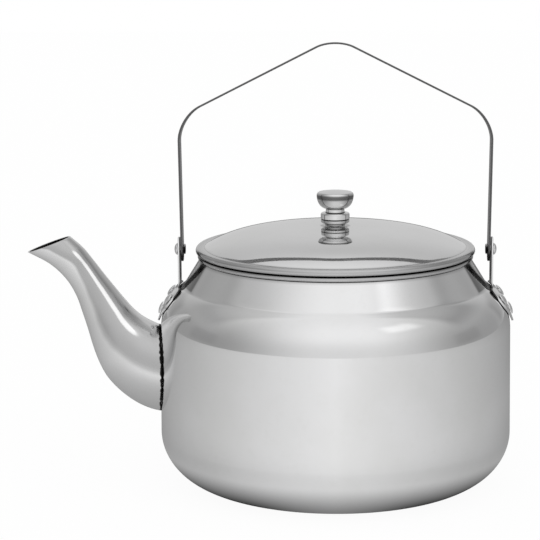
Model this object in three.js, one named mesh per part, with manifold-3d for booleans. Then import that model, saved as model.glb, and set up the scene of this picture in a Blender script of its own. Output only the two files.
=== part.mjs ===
// A stainless steel coffee kettle for an open fire: a spun body with a gooseneck spout, a lift-off
// domed lid and a strip bail that swings between two riveted ears.
// Millimetres, +Z up. The origin is the centre of the flat base. The spout points to -X, and the bail
// swings about X.
import * as THREE from "three";
import { mergeVertices } from "three/addons/utils/BufferGeometryUtils.js";
import Module from "manifold-3d";

const wasm = await Module();
wasm.setup();

// Sizes shared by several pieces
const sheet = 1.0; // wall of the body, the spout and the lid
const strip = 1.2; // thickness of the bail and of the ears
const stripWidth = 15; // width of the bail and of the ears' tabs
const seam = 0.3; // clearance between pieces that touch
const overrun = 12; // how far a cutting shape runs past what it cuts
const weld = 1e-4; // vertices closer than this are one
const degree = Math.PI / 180;

// The body, from the base up: corner, wall, shoulder, cone and the curled bead round its mouth
const body = {
  baseRadius: 69.6,
  cornerWidth: 38.4,
  cornerHeight: 33.5,
  wallTaper: 0.6, // how much narrower the wall is at its top
  wallHeight: 64.5,
  shoulderRadius: 30.9,
  shoulderTurn: 57.5 * degree, // how far the shoulder turns in before the crease
  coneHeight: 16.5,
  coneInset: 10.3, // how much narrower the cone is at its top
  beadRadius: 1.5,
};
body.wallRadius = body.baseRadius + body.cornerWidth;
body.wallTop = body.cornerHeight + body.wallHeight;
body.topRadius = body.wallRadius - body.wallTaper;
body.shoulderCentre = body.topRadius - body.shoulderRadius;
body.coneBase = body.wallTop + body.shoulderRadius * Math.sin(body.shoulderTurn);
body.creaseRadius = body.shoulderCentre + body.shoulderRadius * Math.cos(body.shoulderTurn);
body.neckRadius = body.creaseRadius - body.coneInset;
body.neckTop = body.coneBase + body.coneHeight;
body.beadHeight = body.neckTop + body.beadRadius;
body.mouthRadius = body.neckRadius - body.beadRadius;

// The strainer: holes through the wall behind the spout, in rows set half a pitch apart
const strainer = { holeRadius: 1.8, pitch: 7, rows: 5, mostInRow: 5, holeSides: 8 };

// The spout, lofted between its belly and throat curves. A share is of the way from the root to the mouth.
const spout = {
  rootLow: 44.1, // height of the belly where it meets the wall
  rootHigh: 98.3, // height of the throat where it meets the wall
  tipReach: 81.4, // from the wall out to the tip of the mouth
  tipHeight: 144.1,
  backReach: 55.1, // from the wall out to the back of the mouth
  backHeight: 153.8,
  rootWidth: 44,
  neckWidth: 19.5,
  mouthWidth: 17,
  bellyShares: [
    [0, 0],
    [0.142, 0.036],
    [0.287, 0.113],
    [0.408, 0.216],
    [0.474, 0.318],
    [0.518, 0.42],
    [0.553, 0.522],
    [0.592, 0.624],
    [0.634, 0.725],
    [0.705, 0.826],
    [0.824, 0.922],
    [1, 1],
  ],
  throatShares: [
    [0, 0],
    [0.112, 0.045],
    [0.212, 0.103],
    [0.312, 0.19],
    [0.391, 0.281],
    [0.465, 0.372],
    [0.537, 0.464],
    [0.609, 0.555],
    [0.681, 0.65],
    [0.758, 0.752],
    [0.858, 0.875],
    [1, 1],
  ],
  swellShares: [1, 0.98, 0.9, 0.77, 0.61, 0.44, 0.29, 0.17, 0.07, 0, 0, 0], // of the root's extra width
};

// The lid: dome, crease, flange and the curl that rests on the body's bead
const lid = {
  curlOverhang: 0.6, // how far outside the middle of the bead the middle of the curl lies
  creaseDip: 0.25, // how far the crease lies below the top of the curl
  domeRise: 12.6,
  domePower: 5, // how late the dome turns down towards its rim
  rimShare: 0.6, // of the rise, which that turn takes; the rest is a plain bowl
  flangeReach: 3.2, // from the crease out to the middle of the curl
  curlRadius: 2.1,
  curlTurn: 20 * degree, // how far the curl closes past its inner side
};
lid.curlMiddle = body.neckRadius + lid.curlOverhang;
lid.creaseRadius = lid.curlMiddle - lid.flangeReach;
// The curl rests on the bead: their middles are both radii and the seam apart.
lid.curlHeight =
  body.beadHeight + Math.sqrt((body.beadRadius + lid.curlRadius + seam) ** 2 - lid.curlOverhang ** 2);
lid.creaseHeight = lid.curlHeight + lid.curlRadius - lid.creaseDip;
lid.apex = lid.creaseHeight + lid.domeRise;

// The ring under the lid that drops into the mouth
const skirt = { clearance: 1.2, sheet: 0.8, depth: 9.5 };

// The turned knob, its screw and the screw's washer
const knob = {
  footRadius: 6.2,
  footHeight: 1.5,
  collarRadius: 8.8,
  collarHeight: 6.3,
  collarRound: 1.1,
  grooveHeight: 2.3, // above the bottom of the collar
  grooveWidth: 0.9,
  grooveDepth: 0.5,
  neckRadius: 5.7,
  neckHeight: 2.6,
  bowlRadius: 11.3,
  bowlHeight: 8.2,
  topRadius: 9.6,
  topHeight: 1.9,
  topTurn: 30 * degree, // where the rounded top edge starts above the rim
  crown: 0.5,
};
const screw = { shankRadius: 2, headRadius: 5, headHeight: 2.4, reach: 9 };
const washer = { radius: 6.6, thickness: 1 };

// The ears: a rounded triangle that follows the shoulder, with a tab that stands up to the pivot
const ear = {
  leaveTurn: 50 * degree, // where the sheet leaves the shoulder to stand up
  bendRadius: 3,
  flatTurn: 20 * degree, // where the sheet runs straight down past the shoulder
  upperTurn: 36.5 * degree, // place of the two upper rivets round the shoulder
  upperSpread: 14, // each upper rivet's distance from the middle
  cornerRadius: 6.5,
  tipRadius: 7.6,
  fillet: 3,
};
ear.middleRadius = body.shoulderRadius + seam + strip / 2;
ear.leaveRadius = body.shoulderCentre + ear.middleRadius * Math.cos(ear.leaveTurn);
ear.leaveHeight = body.wallTop + ear.middleRadius * Math.sin(ear.leaveTurn);
ear.tabRadius = ear.leaveRadius - ear.bendRadius * (1 - Math.cos(ear.leaveTurn));

// The rivets: a dome head outside and a flattened end inside
const earRivet = { headRadius: 4, headHeight: 1.4, shankRadius: 1.9, endRadius: 3.1, endHeight: 1 };
const pivotRivet = { headRadius: 3.6, headHeight: 1.9, shankRadius: 2.1, endRadius: 3.1, endHeight: 1.1 };
const shankPlay = 0.3; // clearance round each shank

// The bail: two legs, two sloped sides and the bends between them
const bail = {
  pivotRise: 2.3, // height of the pivots above the top of the bead
  legPlay: 0.5, // clearance between a leg and the edges of the ear's tab
  legFlare: 1.6, // how much further out each leg stands at its upper end
  legHeight: 80.8, // from the pivot up to where the sloped side would meet the leg
  slope: 26.7 * degree,
  cornerBend: 23,
  peakBend: 25.4,
  lean: 4.3 * degree, // how far it leans back where its stiff pivots leave it standing
};
bail.pivotHeight = body.beadHeight + body.beadRadius + bail.pivotRise;
// The tab is curved and the leg is flat, so the leg clears the tab's edges.
bail.legFace = Math.sqrt((ear.tabRadius - strip / 2) ** 2 - (stripWidth / 2) ** 2) - bail.legPlay;
bail.halfSpan = bail.legFace - strip / 2;

// Facets round each kind of piece, and steps along each kind of curve
const facets = { round: 60, ear: 96, spout: 22, knob: 20, rivet: 12 };
const steps = { bend: 5, bead: 5, dome: 7, spout: 20, rivetHead: 3, knobEdge: 2, knobBowl: 5, knobTop: 3 };

const steel = new THREE.MeshStandardMaterial({ color: 0xc9cacb, metalness: 1, roughness: 0.18 });
const satin = new THREE.MeshStandardMaterial({ color: 0xc2c3c4, metalness: 1, roughness: 0.32 });

// Turns a closed geometry into a solid, without the faces that have closed up at an axis.
function solidOf(geometry) {
  const bare = geometry.clone();
  bare.deleteAttribute("normal");
  bare.deleteAttribute("uv");
  const merged = mergeVertices(bare, weld);
  const faces = [];
  for (let i = 0; i < merged.index.count; i += 3) {
    const [a, b, c] = [merged.index.getX(i), merged.index.getX(i + 1), merged.index.getX(i + 2)];
    if (a !== b && b !== c && c !== a) faces.push(a, b, c);
  }
  return new wasm.Manifold(
    new wasm.Mesh({
      numProp: 3,
      vertProperties: new Float32Array(merged.attributes.position.array),
      triVerts: new Uint32Array(faces),
    }),
  );
}

function geometryOf(solid) {
  const mesh = solid.getMesh();
  const geometry = new THREE.BufferGeometry();
  geometry.setAttribute("position", new THREE.BufferAttribute(mesh.vertProperties, mesh.numProp));
  geometry.setIndex(new THREE.BufferAttribute(mesh.triVerts, 1));
  geometry.computeVertexNormals();
  return geometry;
}

// Points [radius, height] on an arc, from one angle to another. Angle 0 points outwards and 90 degrees up.
function arc(centre, radii, from, to, count) {
  return Array.from({ length: count + 1 }, (_, i) => {
    const angle = from + ((to - from) * i) / count;
    return [centre[0] + radii[0] * Math.cos(angle), centre[1] + radii[1] * Math.sin(angle)];
  });
}

// Revolves a profile of [radius, height] points about Z. The profile closes on itself, in either direction.
function revolve(profile, segments) {
  const area = profile.reduce((sum, [r, z], i) => {
    const [nextR, nextZ] = profile[(i + 1) % profile.length];
    return sum + r * nextZ - nextR * z;
  }, 0);
  const ring = area > 0 ? [...profile] : [...profile].reverse();
  ring.push(ring[0]);
  const points = ring.map(([r, z]) => new THREE.Vector2(r, z));
  return solidOf(new THREE.LatheGeometry(points, segments).rotateX(90 * degree));
}

// A straight prism of a shape drawn in Y and Z, running along X from one place to another.
function prismAlongX(shape, from, to) {
  const options = { depth: to - from, bevelEnabled: false, curveSegments: steps.bend };
  const geometry = new THREE.ExtrudeGeometry(shape, options);
  const basis = new THREE.Matrix4().makeBasis(
    new THREE.Vector3(0, 1, 0),
    new THREE.Vector3(0, 0, 1),
    new THREE.Vector3(1, 0, 0),
  );
  return solidOf(geometry.applyMatrix4(basis).translate(from, 0, 0));
}

// Turns local Z to a direction and moves the origin to a place.
function placing(place, direction) {
  const turn = new THREE.Quaternion().setFromUnitVectors(new THREE.Vector3(0, 0, 1), direction);
  return new THREE.Matrix4().compose(place, turn, new THREE.Vector3(1, 1, 1));
}

// A round bar about a line, which reaches as far each way from its middle.
function bar(place, direction, radius, reach, sides) {
  const geometry = new THREE.CylinderGeometry(radius, radius, 2 * reach, sides).rotateX(90 * degree);
  return solidOf(geometry.applyMatrix4(placing(place, direction)));
}

// Outer profile of the body, let out by a distance: from the base's middle up to the bead's foot.
function bodyOutline(out) {
  const corner = [body.baseRadius, body.cornerHeight];
  const cornerRadii = [body.cornerWidth + out, body.cornerHeight + out];
  const shoulder = [body.shoulderCentre, body.wallTop];
  const shoulderRadii = [body.shoulderRadius + out, body.shoulderRadius + out];
  return [
    [0, -out],
    ...arc(corner, cornerRadii, -90 * degree, 0, steps.bend),
    ...arc(shoulder, shoulderRadii, 0, body.shoulderTurn, steps.bend),
    [body.neckRadius + out, body.neckTop],
  ];
}

// A rivet's seat: the middle of its head's underside, with the direction that the head faces.
function shoulderSeat(side, turn, across) {
  const radius = body.shoulderCentre + ear.middleRadius * Math.cos(turn);
  const height = body.wallTop + ear.middleRadius * Math.sin(turn);
  const round = Math.asin(across / radius);
  const direction = new THREE.Vector3(
    side * Math.cos(turn) * Math.cos(round),
    Math.cos(turn) * Math.sin(round),
    Math.sin(turn),
  );
  const place = new THREE.Vector3(side * radius * Math.cos(round), across, height);
  return { place: place.addScaledVector(direction, strip / 2 + seam), direction };
}

function earSeats(side) {
  return {
    front: shoulderSeat(side, ear.upperTurn, -ear.upperSpread),
    back: shoulderSeat(side, ear.upperTurn, ear.upperSpread),
    lower: shoulderSeat(side, ear.flatTurn, 0),
  };
}

function strainerHoles() {
  const middle = (spout.rootLow + spout.rootHigh) / 2;
  const rowStep = strainer.pitch * Math.cos(30 * degree);
  const holes = [];
  for (let row = 0; row < strainer.rows; row++) {
    const fromMiddle = Math.abs(row - (strainer.rows - 1) / 2);
    const inRow = strainer.mostInRow - fromMiddle;
    for (let i = 0; i < inRow; i++) {
      const across = (i - (inRow - 1) / 2) * strainer.pitch;
      const height = middle + (row - (strainer.rows - 1) / 2) * rowStep;
      const round = Math.asin(across / body.wallRadius);
      const direction = new THREE.Vector3(-Math.cos(round), Math.sin(round), 0);
      const place = direction.clone().multiplyScalar(body.wallRadius).setZ(height);
      holes.push(bar(place, direction, strainer.holeRadius, overrun, strainer.holeSides));
    }
  }
  return holes;
}

function makeBody() {
  const beadMiddle = [body.neckRadius, body.beadHeight];
  const beadRadii = [body.beadRadius, body.beadRadius];
  const corner = [body.baseRadius, body.cornerHeight];
  const cornerRadii = [body.cornerWidth - sheet, body.cornerHeight - sheet];
  const shoulder = [body.shoulderCentre, body.wallTop];
  const shoulderRadii = [body.shoulderRadius - sheet, body.shoulderRadius - sheet];
  const inside = [
    [body.mouthRadius, body.neckTop],
    ...arc(shoulder, shoulderRadii, body.shoulderTurn, 0, steps.bend),
    ...arc(corner, cornerRadii, 0, -90 * degree, steps.bend),
    [0, sheet],
  ];
  const outside = bodyOutline(0).slice(0, -1);
  const bead = arc(beadMiddle, beadRadii, -90 * degree, 180 * degree, steps.bead);
  let shell = revolve([...outside, ...bead, ...inside], facets.round);
  for (const hole of strainerHoles()) shell = shell.subtract(hole);
  for (const side of [-1, 1]) {
    for (const seat of Object.values(earSeats(side))) {
      shell = shell.subtract(rivetHole(earRivet, seat));
    }
  }
  return shell;
}

function rivetHole(rivet, seat) {
  return bar(seat.place, seat.direction, rivet.shankRadius + shankPlay, overrun, facets.rivet);
}

// A rivet of a given grip: the distance from under its head to its flattened end.
function makeRivet(rivet, grip, seat) {
  const dome = arc([0, 0], [rivet.headRadius, rivet.headHeight], 90 * degree, 0, steps.rivetHead);
  const profile = [
    ...dome,
    [rivet.shankRadius, 0],
    [rivet.shankRadius, -grip],
    [rivet.endRadius, -grip],
    [rivet.endRadius, -grip - rivet.endHeight],
    [0, -grip - rivet.endHeight],
  ];
  return revolve(profile, facets.rivet).transform(placing(seat.place, seat.direction).elements);
}

// The spout's curves in X and Z, and its half width, at a share of the way from root to mouth
function spoutStations() {
  const belly = spout.bellyShares.map(([out, up]) => [
    -body.wallRadius - out * spout.tipReach,
    spout.rootLow + up * (spout.tipHeight - spout.rootLow),
  ]);
  const throat = spout.throatShares.map(([out, up]) => [
    -body.wallRadius - out * spout.backReach,
    spout.rootHigh + up * (spout.backHeight - spout.rootHigh),
  ]);
  const last = spout.swellShares.length - 1;
  const widths = spout.swellShares.map((swell, i) => {
    const narrow = i === last ? spout.mouthWidth : spout.neckWidth;
    return (narrow + swell * (spout.rootWidth - spout.neckWidth)) / 2;
  });
  // A straight stretch inside the wall, which the fit to the wall cuts away
  belly.unshift([belly[0][0] + overrun, belly[0][1]]);
  throat.unshift([throat[0][0] + overrun, throat[0][1]]);
  widths.unshift(widths[0]);
  const curve = (points) => {
    const path = points.map(([x, z]) => new THREE.Vector3(x, 0, z));
    return new THREE.CatmullRomCurve3(path, false, "centripetal");
  };
  const widthCurve = new THREE.SplineCurve(widths.map((width) => new THREE.Vector2(0, width)));
  return { belly: curve(belly), throat: curve(throat), halfWidth: (share) => widthCurve.getPoint(share).y };
}

function makeSpout() {
  const { belly, throat, halfWidth } = spoutStations();
  // An oval ring across the spout, drawn in by the wall's thickness for the bore
  const ring = (share, inset) => {
    const low = belly.getPoint(share);
    const high = throat.getPoint(share);
    const middle = low.clone().lerp(high, 0.5);
    const up = high.clone().sub(low).multiplyScalar(0.5);
    up.setLength(up.length() - inset);
    const across = halfWidth(share) - inset;
    return Array.from({ length: facets.spout }, (_, i) => {
      const angle = (2 * Math.PI * i) / facets.spout;
      return middle.clone().addScaledVector(up, Math.cos(angle)).setY(across * Math.sin(angle));
    });
  };
  const shares = Array.from({ length: steps.spout + 1 }, (_, i) => i / steps.spout);
  const outer = shares.map((share) => ring(share, 0));
  const bore = shares.map((share) => ring(share, sheet)).reverse();
  const shell = loftLoop([...outer, ...bore]);
  const envelope = revolve([...bodyOutline(seam), [0, body.neckTop]], facets.round);
  return shell.subtract(envelope);
}

// Joins rings into one closed surface, the last to the first again.
function loftLoop(rings) {
  const count = rings[0].length;
  const faces = [];
  rings.forEach((_, r) => {
    const here = r * count;
    const next = ((r + 1) % rings.length) * count;
    for (let i = 0; i < count; i++) {
      const j = (i + 1) % count;
      faces.push(here + i, here + j, next + j, here + i, next + j, next + i);
    }
  });
  const geometry = new THREE.BufferGeometry().setFromPoints(rings.flat());
  geometry.setIndex(faces);
  return solidOf(geometry);
}

function makeLid() {
  const hole = screw.shankRadius + shankPlay;
  const domeHeight = (radius) => {
    const out = radius / lid.creaseRadius;
    const fall = lid.rimShare * out ** lid.domePower + (1 - lid.rimShare) * out ** 2;
    return lid.apex - lid.domeRise * fall;
  };
  // Steps grow closer towards the crease, where the dome is steeper.
  const radii = Array.from({ length: steps.dome + 1 }, (_, i) => {
    return hole + (lid.creaseRadius - hole) * Math.sin((90 * degree * i) / steps.dome);
  });
  const curl = [lid.curlMiddle, lid.curlHeight];
  const curlRadii = [lid.curlRadius, lid.curlRadius];
  const flangeUnder = lid.curlHeight + lid.curlRadius - sheet;
  const curlInside = lid.curlMiddle - lid.curlRadius * Math.cos(lid.curlTurn);
  return revolve(
    [
      ...radii.map((radius) => [radius, domeHeight(radius)]),
      ...arc(curl, curlRadii, 90 * degree, -180 * degree + lid.curlTurn, steps.bead),
      [curlInside, flangeUnder],
      ...radii.reverse().map((radius) => [radius, domeHeight(radius) - sheet]),
    ],
    facets.round,
  );
}

function makeSkirt() {
  const outer = body.mouthRadius - skirt.clearance;
  const inner = outer - skirt.sheet;
  const top = lid.creaseHeight - sheet - seam;
  const profile = [
    [outer, top],
    [inner, top],
    [inner, top - skirt.depth],
    [outer, top - skirt.depth],
  ];
  return revolve(profile, facets.round);
}

function makeKnob() {
  const foot = lid.apex + seam;
  const collar = foot + knob.footHeight;
  const collarTop = collar + knob.collarHeight;
  const groove = collar + knob.grooveHeight;
  const neckTop = collarTop + knob.neckHeight;
  const rim = neckTop + knob.bowlHeight;
  const round = [knob.collarRound, knob.collarRound];
  const collarMiddle = knob.collarRadius - knob.collarRound;
  const bowlMiddle = [knob.neckRadius, rim];
  const bowlRadii = [knob.bowlRadius - knob.neckRadius, knob.bowlHeight];
  const topRadii = [knob.bowlRadius - knob.topRadius, knob.topHeight];
  const bore = screw.shankRadius + shankPlay;
  const boreTop = screwUnder() + sheet + seam + screw.reach + seam;
  const profile = [
    [bore, foot],
    [knob.footRadius, foot],
    [knob.footRadius, collar],
    ...arc([collarMiddle, collar + knob.collarRound], round, -90 * degree, 0, steps.knobEdge),
    [knob.collarRadius, groove - knob.grooveWidth / 2],
    [knob.collarRadius - knob.grooveDepth, groove],
    [knob.collarRadius, groove + knob.grooveWidth / 2],
    ...arc([collarMiddle, collarTop - knob.collarRound], round, 0, 90 * degree, steps.knobEdge),
    [knob.neckRadius, collarTop],
    ...arc(bowlMiddle, bowlRadii, -90 * degree, 0, steps.knobBowl),
    ...arc([knob.topRadius, rim], topRadii, knob.topTurn, 90 * degree, steps.knobTop),
    [0, rim + knob.topHeight + knob.crown],
    [0, boreTop],
    [bore, boreTop],
  ];
  return revolve(profile, facets.knob);
}

// Height of the washer's upper face, just under the lid's middle
function screwUnder() {
  return lid.apex - sheet - seam;
}

function makeWasher() {
  const inner = screw.shankRadius + shankPlay;
  const profile = [
    [inner, screwUnder()],
    [washer.radius, screwUnder()],
    [washer.radius, screwUnder() - washer.thickness],
    [inner, screwUnder() - washer.thickness],
  ];
  return revolve(profile, facets.knob);
}

function makeScrew() {
  const headTop = screwUnder() - washer.thickness - seam;
  const shankTop = screwUnder() + sheet + seam + screw.reach;
  const profile = [
    [0, shankTop],
    [screw.shankRadius, shankTop],
    [screw.shankRadius, headTop],
    ...arc([0, headTop], [screw.headRadius, screw.headHeight], 0, -90 * degree, steps.rivetHead),
  ];
  return revolve(profile, facets.rivet);
}

// The middle line of the ear's sheet, from its tip up to its top, as points of radius, height and the
// direction across the sheet
function earLine() {
  const straight = ear.tipRadius / Math.cos(ear.flatTurn) + overrun;
  const at = (turn) => [
    body.shoulderCentre + ear.middleRadius * Math.cos(turn),
    body.wallTop + ear.middleRadius * Math.sin(turn),
    turn,
  ];
  const [flatRadius, flatHeight] = at(ear.flatTurn);
  const footRadius = flatRadius + straight * Math.sin(ear.flatTurn);
  const footHeight = flatHeight - straight * Math.cos(ear.flatTurn);
  const line = [[footRadius, footHeight, ear.flatTurn]];
  for (let i = 0; i <= steps.bend; i++) {
    line.push(at(ear.flatTurn + ((ear.leaveTurn - ear.flatTurn) * i) / steps.bend));
  }
  const bendMiddle = ear.tabRadius + ear.bendRadius;
  const bendHeight = ear.leaveHeight + ear.bendRadius * Math.sin(ear.leaveTurn);
  for (let i = 1; i <= steps.bend; i++) {
    const turn = ear.leaveTurn * (1 - i / steps.bend);
    const radius = bendMiddle - ear.bendRadius * Math.cos(turn);
    line.push([radius, bendHeight - ear.bendRadius * Math.sin(turn), turn]);
  }
  line.push([ear.tabRadius, bail.pivotHeight + stripWidth, 0]);
  return line;
}

// The ear's outline seen along X, drawn in Y and Z
function earShape() {
  const top = bail.pivotHeight;
  const half = stripWidth / 2;
  const upper = body.wallTop + ear.middleRadius * Math.sin(ear.upperTurn);
  const lower = body.wallTop + ear.middleRadius * Math.sin(ear.flatTurn);
  const edge = upper + ear.cornerRadius;
  // Direction across the slanted side, which touches the corner's round and the tip's round
  const run = Math.hypot(ear.upperSpread, upper - lower);
  const lean = Math.asin((ear.cornerRadius - ear.tipRadius) / run);
  const side = Math.atan2(lower - upper, -ear.upperSpread) + 90 * degree - lean;
  const shape = new THREE.Shape();
  shape.moveTo(half, top);
  shape.lineTo(half, edge + ear.fillet);
  shape.absarc(half + ear.fillet, edge + ear.fillet, ear.fillet, 180 * degree, 270 * degree, false);
  shape.absarc(ear.upperSpread, upper, ear.cornerRadius, 90 * degree, side, true);
  shape.absarc(0, lower, ear.tipRadius, side, 180 * degree - side, true);
  shape.absarc(-ear.upperSpread, upper, ear.cornerRadius, 180 * degree - side, 90 * degree, true);
  shape.absarc(-half - ear.fillet, edge + ear.fillet, ear.fillet, 270 * degree, 360 * degree, false);
  shape.lineTo(-half, top);
  shape.absarc(0, top, half, 180 * degree, 0, true);
  return shape;
}

function makeEar(side) {
  const line = earLine();
  const shift = (amount) => {
    return line.map(([r, z, turn]) => [r + amount * Math.cos(turn), z + amount * Math.sin(turn)]);
  };
  const sleeve = revolve([...shift(strip / 2), ...shift(-strip / 2).reverse()], facets.ear);
  const near = body.neckRadius;
  const far = body.wallRadius + overrun;
  const outline = side > 0 ? prismAlongX(earShape(), near, far) : prismAlongX(earShape(), -far, -near);
  let plate = sleeve.intersect(outline);
  for (const seat of Object.values(earSeats(side))) plate = plate.subtract(rivetHole(earRivet, seat));
  return plate.subtract(rivetHole(pivotRivet, pivotSeat(side)));
}

function pivotSeat(side) {
  return {
    place: new THREE.Vector3(side * (ear.tabRadius + strip / 2 + seam), 0, bail.pivotHeight),
    direction: new THREE.Vector3(side, 0, 0),
  };
}

// A path through corner points, each inner corner rounded by its own bend radius
function bentPath(points, bends) {
  const path = [points[0]];
  for (let i = 1; i < points.length - 1; i++) {
    const back = points[i - 1].clone().sub(points[i]).normalize();
    const ahead = points[i + 1].clone().sub(points[i]).normalize();
    const half = Math.acos(back.dot(ahead)) / 2;
    const bend = bends[i - 1];
    const reach = bend / Math.tan(half);
    const start = points[i].clone().addScaledVector(back, reach);
    const end = points[i].clone().addScaledVector(ahead, reach);
    const inwards = back.clone().add(ahead).normalize();
    const centre = points[i].clone().addScaledVector(inwards, bend / Math.sin(half));
    const from = start.clone().sub(centre).angle();
    let sweep = end.clone().sub(centre).angle() - from;
    if (sweep > Math.PI) sweep -= 2 * Math.PI;
    if (sweep < -Math.PI) sweep += 2 * Math.PI;
    for (let k = 0; k <= steps.bend; k++) {
      const angle = from + (sweep * k) / steps.bend;
      path.push(new THREE.Vector2(Math.cos(angle), Math.sin(angle)).multiplyScalar(bend).add(centre));
    }
  }
  path.push(points[points.length - 1]);
  return path;
}

// The outline of a strip of a given thickness that follows a path
function stripShape(path, thickness) {
  const sides = path.map((point, i) => {
    const ahead = (path[i + 1] ?? point).clone().sub(path[i - 1] ?? point).normalize();
    return new THREE.Vector2(-ahead.y, ahead.x).multiplyScalar(thickness / 2);
  });
  const left = path.map((point, i) => point.clone().add(sides[i]));
  const right = path.map((point, i) => point.clone().sub(sides[i])).reverse();
  return new THREE.Shape([...left, ...right]);
}

function makeBail() {
  const bottom = bail.pivotHeight - stripWidth;
  const corner = bail.pivotHeight + bail.legHeight;
  const flare = bail.legFlare / bail.legHeight;
  const reach = bail.halfSpan + bail.legFlare;
  const foot = bail.halfSpan - flare * stripWidth;
  const peak = corner + reach * Math.tan(bail.slope);
  const points = [
    new THREE.Vector2(-foot, bottom),
    new THREE.Vector2(-reach, corner),
    new THREE.Vector2(0, peak),
    new THREE.Vector2(reach, corner),
    new THREE.Vector2(foot, bottom),
  ];
  const shape = stripShape(bentPath(points, [bail.cornerBend, bail.peakBend, bail.cornerBend]), strip);
  const band = new THREE.ExtrudeGeometry(shape, { depth: stripWidth, bevelEnabled: false });
  band.rotateX(90 * degree).translate(0, stripWidth / 2, 0);
  const half = stripWidth / 2;
  const ends = new THREE.Shape();
  ends.moveTo(half, peak);
  ends.lineTo(-half, peak);
  ends.absarc(0, bail.pivotHeight, half, 180 * degree, 360 * degree, false);
  const far = reach + overrun;
  const leaning = new THREE.Matrix4()
    .makeTranslation(0, 0, bail.pivotHeight)
    .multiply(new THREE.Matrix4().makeRotationX(-bail.lean))
    .multiply(new THREE.Matrix4().makeTranslation(0, 0, -bail.pivotHeight));
  return solidOf(band)
    .intersect(prismAlongX(ends, -far, far))
    .subtract(rivetHole(pivotRivet, pivotSeat(-1)))
    .subtract(rivetHole(pivotRivet, pivotSeat(1)))
    .transform(leaning.elements);
}

const kettle = new THREE.Group();
kettle.name = "coffee_kettle";

function add(name, solid, material) {
  const mesh = new THREE.Mesh(geometryOf(solid), material);
  mesh.name = name;
  kettle.add(mesh);
}

add("kettle_body", makeBody(), steel);
add("spout", makeSpout(), steel);
add("lid", makeLid(), steel);
add("lid_skirt", makeSkirt(), satin);
add("lid_knob", makeKnob(), steel);
add("knob_washer", makeWasher(), satin);
add("knob_screw", makeScrew(), satin);
add("bail_handle", makeBail(), steel);

// The flattened ends of the ear rivets bed into the hollow of the shoulder.
const bedding = earRivet.endRadius ** 2 / (2 * (body.shoulderRadius - sheet));
const earGrip = seam + strip + seam + sheet + seam + bedding;
const pivotGrip = pivotSeat(1).place.x - (bail.legFace - strip) + seam;
for (const [word, side] of [["left", -1], ["right", 1]]) {
  add("ear_" + word, makeEar(side), steel);
  for (const [place, seat] of Object.entries(earSeats(side))) {
    add("ear_rivet_" + word + "_" + place, makeRivet(earRivet, earGrip, seat), satin);
  }
  add("pivot_rivet_" + word, makeRivet(pivotRivet, pivotGrip, pivotSeat(side)), satin);
}

export default kettle;
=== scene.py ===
"""The looks of a stainless steel coffee kettle.

A spun body with a gooseneck spout, a lift-off domed lid with a turned knob, and a strip bail that swings
between two riveted ears. Metres, +Z up. The origin is the centre of the flat base, the spout points to -X
and the bail swings about a line along X. Every piece stands for the solid of the same part in the frame.
"""

import logging
import math
from dataclasses import dataclass, field
from enum import Enum
from functools import cache
from typing import Callable, Iterable, Sequence

import bmesh
import bpy
from mathutils import Matrix, Vector

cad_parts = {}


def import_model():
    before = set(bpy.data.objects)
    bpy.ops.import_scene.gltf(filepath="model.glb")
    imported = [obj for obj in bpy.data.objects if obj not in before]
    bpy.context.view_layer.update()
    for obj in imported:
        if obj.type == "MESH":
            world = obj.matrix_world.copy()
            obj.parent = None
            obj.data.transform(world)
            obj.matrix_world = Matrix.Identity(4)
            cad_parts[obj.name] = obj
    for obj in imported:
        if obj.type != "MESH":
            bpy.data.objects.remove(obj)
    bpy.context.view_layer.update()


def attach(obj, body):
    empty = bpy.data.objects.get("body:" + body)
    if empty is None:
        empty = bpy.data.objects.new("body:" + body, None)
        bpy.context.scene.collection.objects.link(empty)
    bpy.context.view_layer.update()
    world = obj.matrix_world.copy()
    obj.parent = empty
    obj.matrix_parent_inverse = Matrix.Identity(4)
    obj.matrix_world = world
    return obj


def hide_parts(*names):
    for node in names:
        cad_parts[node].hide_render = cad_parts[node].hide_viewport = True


MM = 0.001
FULL_TURN = 2 * math.pi
QUARTER = math.pi / 2

SHEET = 1.0 * MM  # wall of the body, the spout and the lid
STRIP = 1.2 * MM  # thickness of the bail and of the ears
STRIP_WIDTH = 15 * MM
SEAM = 0.3 * MM  # clearance between pieces that touch
OVERRUN = 12 * MM  # how far a cutting shape runs past what it cuts
WELD = 1e-6  # vertices closer than this are one
SHARP = math.radians(32)  # edges that turn more than this stay crisp
SOFTENED = math.radians(50)  # edges that turn more than this get a small round
RIM = math.radians(60)  # edges that turn more than this are the rim of a flat plate

# near black: the colour of painted shade, and of the dark joint in the spout's seam
PAINTED_SHADE_COLOUR = (0.012, 0.0115, 0.011, 1.0)
EDGE_SHADE = (0.02, 0.02, 0.02, 1.0)  # the painted shade on a strip's cut edges
CLEAN_TINT = (1.0, 1.0, 1.005)  # shares of a steel's tone
WORN_TINT = (0.95, 0.95, 0.945)
ALONG_STRIP = (0.02, 1.0, 0.02)  # how far the lines of a drawn strip are drawn out along each axis

Place = tuple[float, float]
Colour = tuple[float, float, float, float]
Socket = bpy.types.NodeSocket
Value = float | tuple[float, ...] | Socket

log = logging.getLogger("kettle")


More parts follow.
